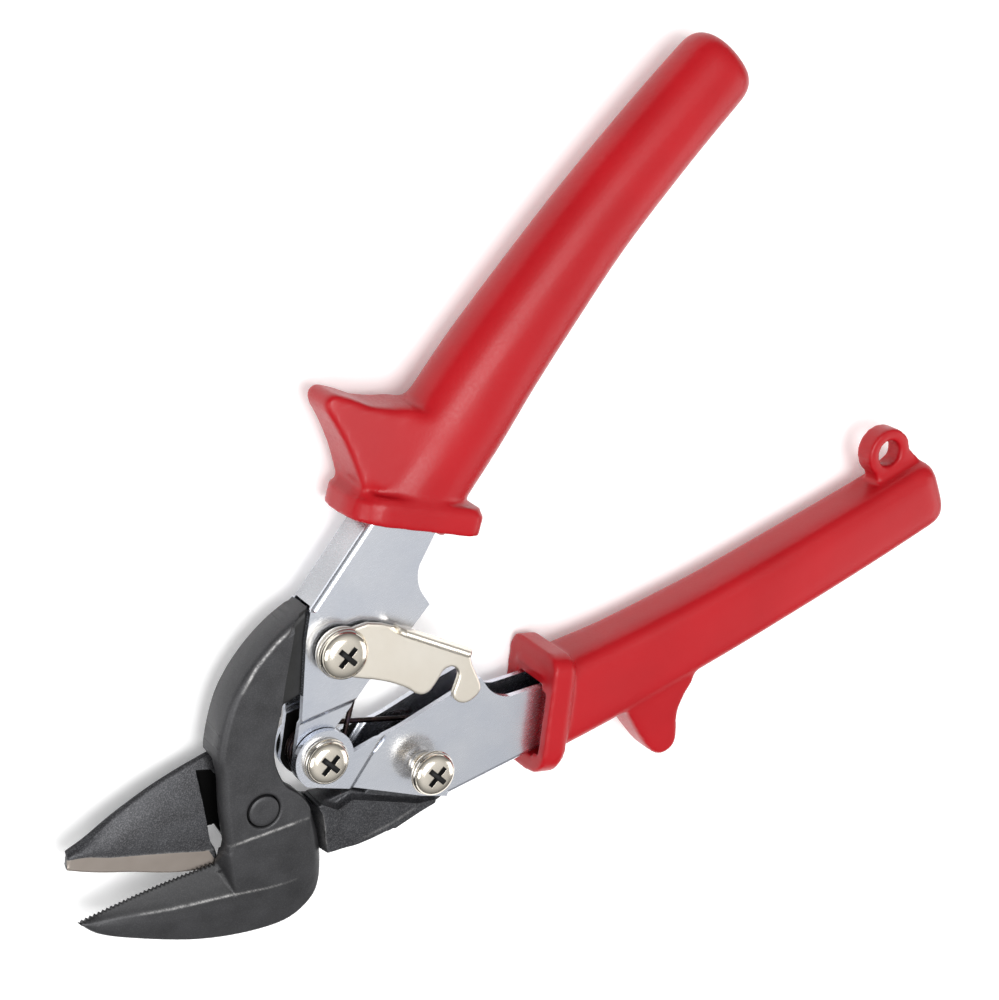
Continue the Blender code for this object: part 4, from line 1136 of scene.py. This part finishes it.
def pan_head(base, wide):
    """A pan head's profile from its underside to its crown, as (radius, height)."""
    profile = [(wide - 0.15, base), (wide, base + 0.15), (wide, base + 0.6)]
    profile += [(wide - 0.12, base + 0.72), (wide - 0.2, base + 0.95)]
    for k in range(1, 13):
        angle = math.radians(7.5 * k)
        radius = 1.2 + (wide - 1.4) * math.cos(angle) ** 0.62
        profile.append((max(radius, 0.05), base + 0.95 + (HEAD_HEIGHT - 0.95) * math.sin(angle)))
    profile.append((0.05, base + HEAD_HEIGHT))
    return profile


def screw(name, body, centre, shank, neck=(SCREW_RADIUS, 0.0), wide=HEAD_RADIUS):
    """A pan-head screw with a tapered cross recess.

    The neck is the radius at which the shank's profile ends, and how far below the head.
    """
    base = heights_of(name)[1] - HEAD_HEIGHT
    profile = [*shank, (neck[0], base - neck[1]), *pan_head(base, wide)]
    made = helper_object(turned(profile, centre), [NICKEL, PAINTED_RECESS_SHADE])
    crown = base + HEAD_HEIGHT
    levels = ((1.0, 3.1, 0.78), (-0.1, 2.6, 0.6), (-1.1, 1.8, 0.45), (-2.0, 0.6, 0.4))
    recess = loft([cross_ring(centre, crown + rise, long, short) for rise, long, short in levels])
    # The cross recess takes near-black steel: painted shade.
    for face in recess.faces:
        face.material_index = 1
    combined(made, ("DIFFERENCE", recess))
    bevelled(made, 0.09, 2, 38)
    finish_piece(name + "_pan_head", made, body, [name], 30)


def threaded_end(foot, top, radius):
    """A shank whose visible end has a thread's ridges."""
    profile = [(radius - 0.5, foot)]
    steps = int((top - foot - 0.4) / 0.4)
    for k in range(steps):
        height = foot + 0.3 + 0.4 * k
        profile += [(radius, height), (radius - 0.22, height + 0.2)]
    profile.append((radius, top))
    return profile


def hex_nut(name, body, centre, flats, bore, surface):
    """A hexagon nut whose corners are turned off at both faces."""
    low, high = heights_of(name)
    radius = flats / math.sqrt(3)
    hexagon = prism([on_circle(radius, 60 * k + 30, centre) for k in range(6)], low, high)
    nut = helper_object(hexagon, [surface])
    cut = 0.13 * radius
    limit = radius + 0.02
    turned_off = [(flats / 2 * 0.97, low), (limit, low + cut), (limit, high - cut), (flats / 2 * 0.97, high)]
    nut = combined(nut, ("INTERSECT", turned(turned_off, centre, 72)))
    nut = combined(nut, ("DIFFERENCE", prism(circle(centre, bore, 40), low - 1, high + 1)))
    bevelled(nut, 0.16, 2, 20)
    finish_piece(name + "_chamfered", nut, body, [name], 30, True)


def ring_piece(name, body, centre, inner, outer, surface):
    low, high = heights_of(name)
    ring = helper_object(turned(bevelled_profile(inner, outer, low, high), centre), [surface])
    finish_piece(name + "_ring", ring, body, [name], 50, True)


def heights_of(node):
    low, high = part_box(node)
    return low.z / MM - REST_HEIGHT, high.z / MM - REST_HEIGHT


def fasteners():
    foot = heights_of("handle_pivot_screw")[0]
    shank = threaded_end(foot, -6.2, SCREW_RADIUS)
    screw("handle_pivot_screw", "lower_handle", HANDLE_PIVOT, shank)
    screw("upper_tang_screw", "upper_handle", UPPER_TANG, shank, wide=TANG_HEAD_RADIUS)
    shank = [*threaded_end(foot, -5.6, 2.0), (2.0, 4.95), (3.0, 4.97), (3.25, 5.15), (3.25, 5.6), (3.0, 5.8)]
    shank += [(2.0, 5.85), (2.0, 7.9), (2.25, 8.1), (2.9, 8.3), (2.9, 8.85)]
    screw("lower_tang_stud", "lower_handle", LOWER_TANG, shank, (2.7, 0.05))

    clear = SCREW_RADIUS + 0.3
    bolt_clear = BOLT_RADIUS + 0.3
    for word, body, centre in (
        ("handle_pivot", "lower_handle", HANDLE_PIVOT),
        ("upper_tang", "upper_handle", UPPER_TANG),
        ("lower_tang", "lower_handle", LOWER_TANG),
    ):
        hex_nut(word + "_nut", body, centre, 8.0, SCREW_RADIUS + 0.25, NICKEL)
        ring_piece(word + "_washer", body, centre, clear, 4.9, NICKEL)
    ring_piece("latch_bush", "upper_handle", UPPER_TANG, clear, 5.2, WASHER_DARK)
    ring_piece("handle_pivot_bush", "lower_handle", HANDLE_PIVOT, 2.7, 3.3, ZINC)
    ring_piece("main_pivot_washer", "lower_blade", MAIN_PIVOT, bolt_clear, 7.6, ZINC)
    hex_nut("main_pivot_nut", "lower_blade", MAIN_PIVOT, 13.0, BOLT_RADIUS + 0.25, ZINC)
    low, high = heights_of("main_pivot_bolt")
    profile = [*threaded_end(low, -6.4, BOLT_RADIUS), (BOLT_RADIUS, high - 0.5)]
    profile += [(BOLT_RADIUS - 0.12, high - 0.2), (BOLT_RADIUS - 0.45, high - 0.05)]
    profile += [(2.6, high), (1.3, high), (0.05, high)]
    bolt = helper_object(turned(profile, MAIN_PIVOT), [FORGED])
    finish_piece("main_pivot_bolt_flush", bolt, "lower_blade", ["main_pivot_bolt"], 40)


# ---------------------------------------------------------------- latch and spring

LATCH_PARKED = -56.0
LATCH_BASE = 6.0
LATCH_SHEET = 1.5
LATCH_END = 5.7  # the radius of its round end
HOOK_REACH = 28.35
HOOK_RADIUS = 2.4
TAB = (10.4, 30.4)  # where the thumb tab starts and ends
TAB_RISE = 3.2
TAB_PITCH = 0.55


def latch_spot(along_latch, across_latch):
    """A point of the latch from its pivot: how far along it, and how far to its thumb side."""
    direction = math.radians(LATCH_PARKED)
    x, y = UPPER_TANG
    return (
        x + along_latch * math.cos(direction) - across_latch * math.sin(direction),
        y + along_latch * math.sin(direction) + across_latch * math.cos(direction),
    )


def latch_plate():
    body = [latch_spot(*on_circle(LATCH_END, angle)) for angle in range(84, 306, 6)]
    belly = [(7.0, -4.6), (10.5, -4.2), (14.7, -4.1), (18.8, -4.5), (21.4, -5.2), (23.3, -5.2), (24.7, -4.2)]
    belly += [(25.5, -2.2), (25.95, -0.4)]
    angles = [math.radians(angle) for angle in range(0, 181, 15)]
    slot = [(HOOK_REACH - HOOK_RADIUS * math.cos(a), HOOK_RADIUS * math.sin(a)) for a in angles]
    hook = [(30.8, -1.4), (30.9, -3.4), (31.7, -4.6), (33.4, -5.2), (35.3, -4.8), (36.9, -3.1), (37.4, -1.3)]
    hook += [(36.6, 0.3), (34.6, 2.2), (32.8, 4.0), (31.4, 5.8), (30.4, 7.0)]
    upper = [(22.0, 7.6), (12.0, 8.2), (7.0, 8.1), (3.6, 7.5)]
    outline = [*body, *[latch_spot(*p) for p in smooth(belly, 4)], *[latch_spot(*p) for p in slot]]
    outline += [latch_spot(*p) for p in smooth(hook, 4)] + [latch_spot(*p) for p in upper]
    bore = circle(UPPER_TANG, SCREW_RADIUS + 0.3, 40)
    top = LATCH_BASE + LATCH_SHEET

    def level(height):
        return lambda places: np.full(len(places), height)

    def rim(places):
        return np.full(len(places), 0.42)

    plate = sculpted_plate([outline], [bore], [], level(top), level(LATCH_BASE), 0.6, rim, [LATCH_NICKEL])
    tab = tab_mesh(top)
    latch = combined(plate, ("UNION", tab))
    finish_piece("latch_plate_folded", latch, "latch", ["latch_plate"], 45)


def tab_mesh(top):
    """The thumb tab: the sheet's edge folded up, with a row of fine teeth along its rounded top."""
    start, end = TAB
    count = int((end - start) / TAB_PITCH)
    sections = []
    for k in range(2 * count + 1):
        reach = start + (end - start) * k / (2 * count)
        near_end = min(reach - start, end - reach)
        fall = 1.6 * max(0.0, 1 - near_end / 1.6) ** 2
        crest = top + TAB_RISE - fall - (0.16 if k % 2 else 0.0)
        lean = 7.0 - 0.07 * (reach - start)
        ring = [(lean, LATCH_BASE + 0.25), (lean + 1.5, LATCH_BASE + 0.25), (lean + 1.75, LATCH_BASE + 0.8)]
        ring += [(lean + 1.75, crest - 0.5), (lean + 1.4, crest - 0.1), (lean + 0.9, crest)]
        ring += [(lean + 0.4, crest - 0.1), (lean + 0.1, crest - 0.5)]
        sections.append([(*latch_spot(reach, across), height) for across, height in ring])
    return loft(sections)


COIL_RADIUS = 5.5
COIL_TURNS = 3
COIL_HALF = 1.9
WIRE = 0.6
LEG_LENGTH = 26.0
HANDLE_ARM = 25.3
LEG_ROOM = 7.6 + 0.3 + WIRE  # the blade's lug, a gap and the wire


def leg_direction():
    x, y = LOWER_TANG[0] - HANDLE_PIVOT[0], LOWER_TANG[1]
    return math.degrees(math.atan2(y, x) + math.asin((LEG_ROOM - COIL_RADIUS) / HANDLE_ARM))


def spring_leg(side):
    """A straight leg, from the coil outwards: side is 1 on the upper handle and -1 on the lower one."""
    direction = -side * leg_direction()
    x, y = on_circle(COIL_RADIUS, direction - 90 * side, HANDLE_PIVOT)
    height = side * COIL_HALF
    return [(*on_circle(LEG_LENGTH * k / 12, direction, (x, y)), height) for k in range(13)]


def opening_spring():
    """One wire, built at rest: a leg on each handle and the coil between them, which in the tool winds up as
    the handles close.
    """
    start = leg_direction() + 90
    sweep = 360 * COIL_TURNS - 2 * start
    steps = int(sweep / 9)
    coil = []
    for k in range(steps + 1):
        height = -COIL_HALF + 2 * COIL_HALF * k / steps
        coil.append((*on_circle(COIL_RADIUS, start + sweep * k / steps, HANDLE_PIVOT), height))
    wire = helper_object(tube_along([*reversed(spring_leg(-1)), *coil[1:-1], *spring_leg(1)], WIRE), [SPRING])
    nodes = ["opening_spring", "opening_spring_upper_leg"]
    finish_piece("opening_spring_wound", wire, None, nodes, 0)
    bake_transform(wire)


# ---------------------------------------------------------------- stage


FLOOR_HALF = 4.0
SKY = [(0.0, 0.1), (0.3, 0.25), (0.62, 0.5), (0.85, 0.86), (1.0, 0.9)]
SKY_STRENGTH = 0.9
LAMP_AIM = Vector((0.07, 0.0, 0.0))
# Each lamp's name, place in metres, size and watts.
LAMPS = (
    ("key", (0.02, 0.12, 1.1), 0.62, 8.5),
    ("left", (-0.85, 0.5, 0.75), 0.7, 5.0),
    ("right", (0.7, -0.75, 0.45), 0.6, 2.2),
)
CAMERA_PLACE = Vector((-0.020, 0.272, 0.391))
CAMERA_AIM = Vector((0.08224, 0.01716, 0.0102))
CAMERA_UP = 58.23  # the way up in the picture, in degrees on the floor
CAMERA_LENS = 77.156


def stage():
    """A plain pale floor, soft studio light and the camera."""
    mesh = bmesh.new()
    bmesh.ops.create_grid(mesh, x_segments=8, y_segments=8, size=FLOOR_HALF)
    floor = helper_object(mesh, [floor_material()])
    floor.name = "floor"

    world = bpy.data.worlds.new("studio")
    bpy.context.scene.world = world
    world.use_nodes = True
    tree = world.node_tree
    direction = add(tree, "TexCoord").outputs["Generated"]
    height = add(tree, "SeparateXYZ", None, {"Vector": direction}).outputs["Z"]
    sky = ramp(tree, height, SKY)
    tree.links.new(sky, tree.nodes["Background"].inputs["Color"])
    tree.nodes["Background"].inputs["Strength"].default_value = SKY_STRENGTH
    bpy.context.scene.view_settings.view_transform = "Standard"

    for name, place, size, watts in LAMPS:
        data = bpy.data.lights.new(name, "AREA")
        data.size = size
        data.energy = watts
        lamp = bpy.data.objects.new(name, data)
        lamp.location = place
        lamp.rotation_euler = (LAMP_AIM - Vector(place)).to_track_quat("-Z", "Y").to_euler()
        bpy.context.scene.collection.objects.link(lamp)

    up_angle = math.radians(CAMERA_UP)
    ahead = (CAMERA_AIM - CAMERA_PLACE).normalized()
    right = ahead.cross(Vector((math.cos(up_angle), math.sin(up_angle), 0))).normalized()
    up = right.cross(ahead)
    data = bpy.data.cameras.new("camera")
    data.lens = CAMERA_LENS
    data.sensor_width = 36
    camera = bpy.data.objects.new("camera", data)
    bpy.context.scene.collection.objects.link(camera)
    turn = Matrix((right, up, -ahead)).transposed().to_4x4()
    camera.matrix_world = Matrix.Translation(CAMERA_PLACE) @ turn
    bpy.context.scene.camera = camera


lower_jaw_blade()
upper_jaw_blade()
handle_channel("upper", "upper_handle", False)
handle_channel("lower", "lower_handle", True)
upper_grip()
lower_grip()
fasteners()
latch_plate()
opening_spring()
stage()
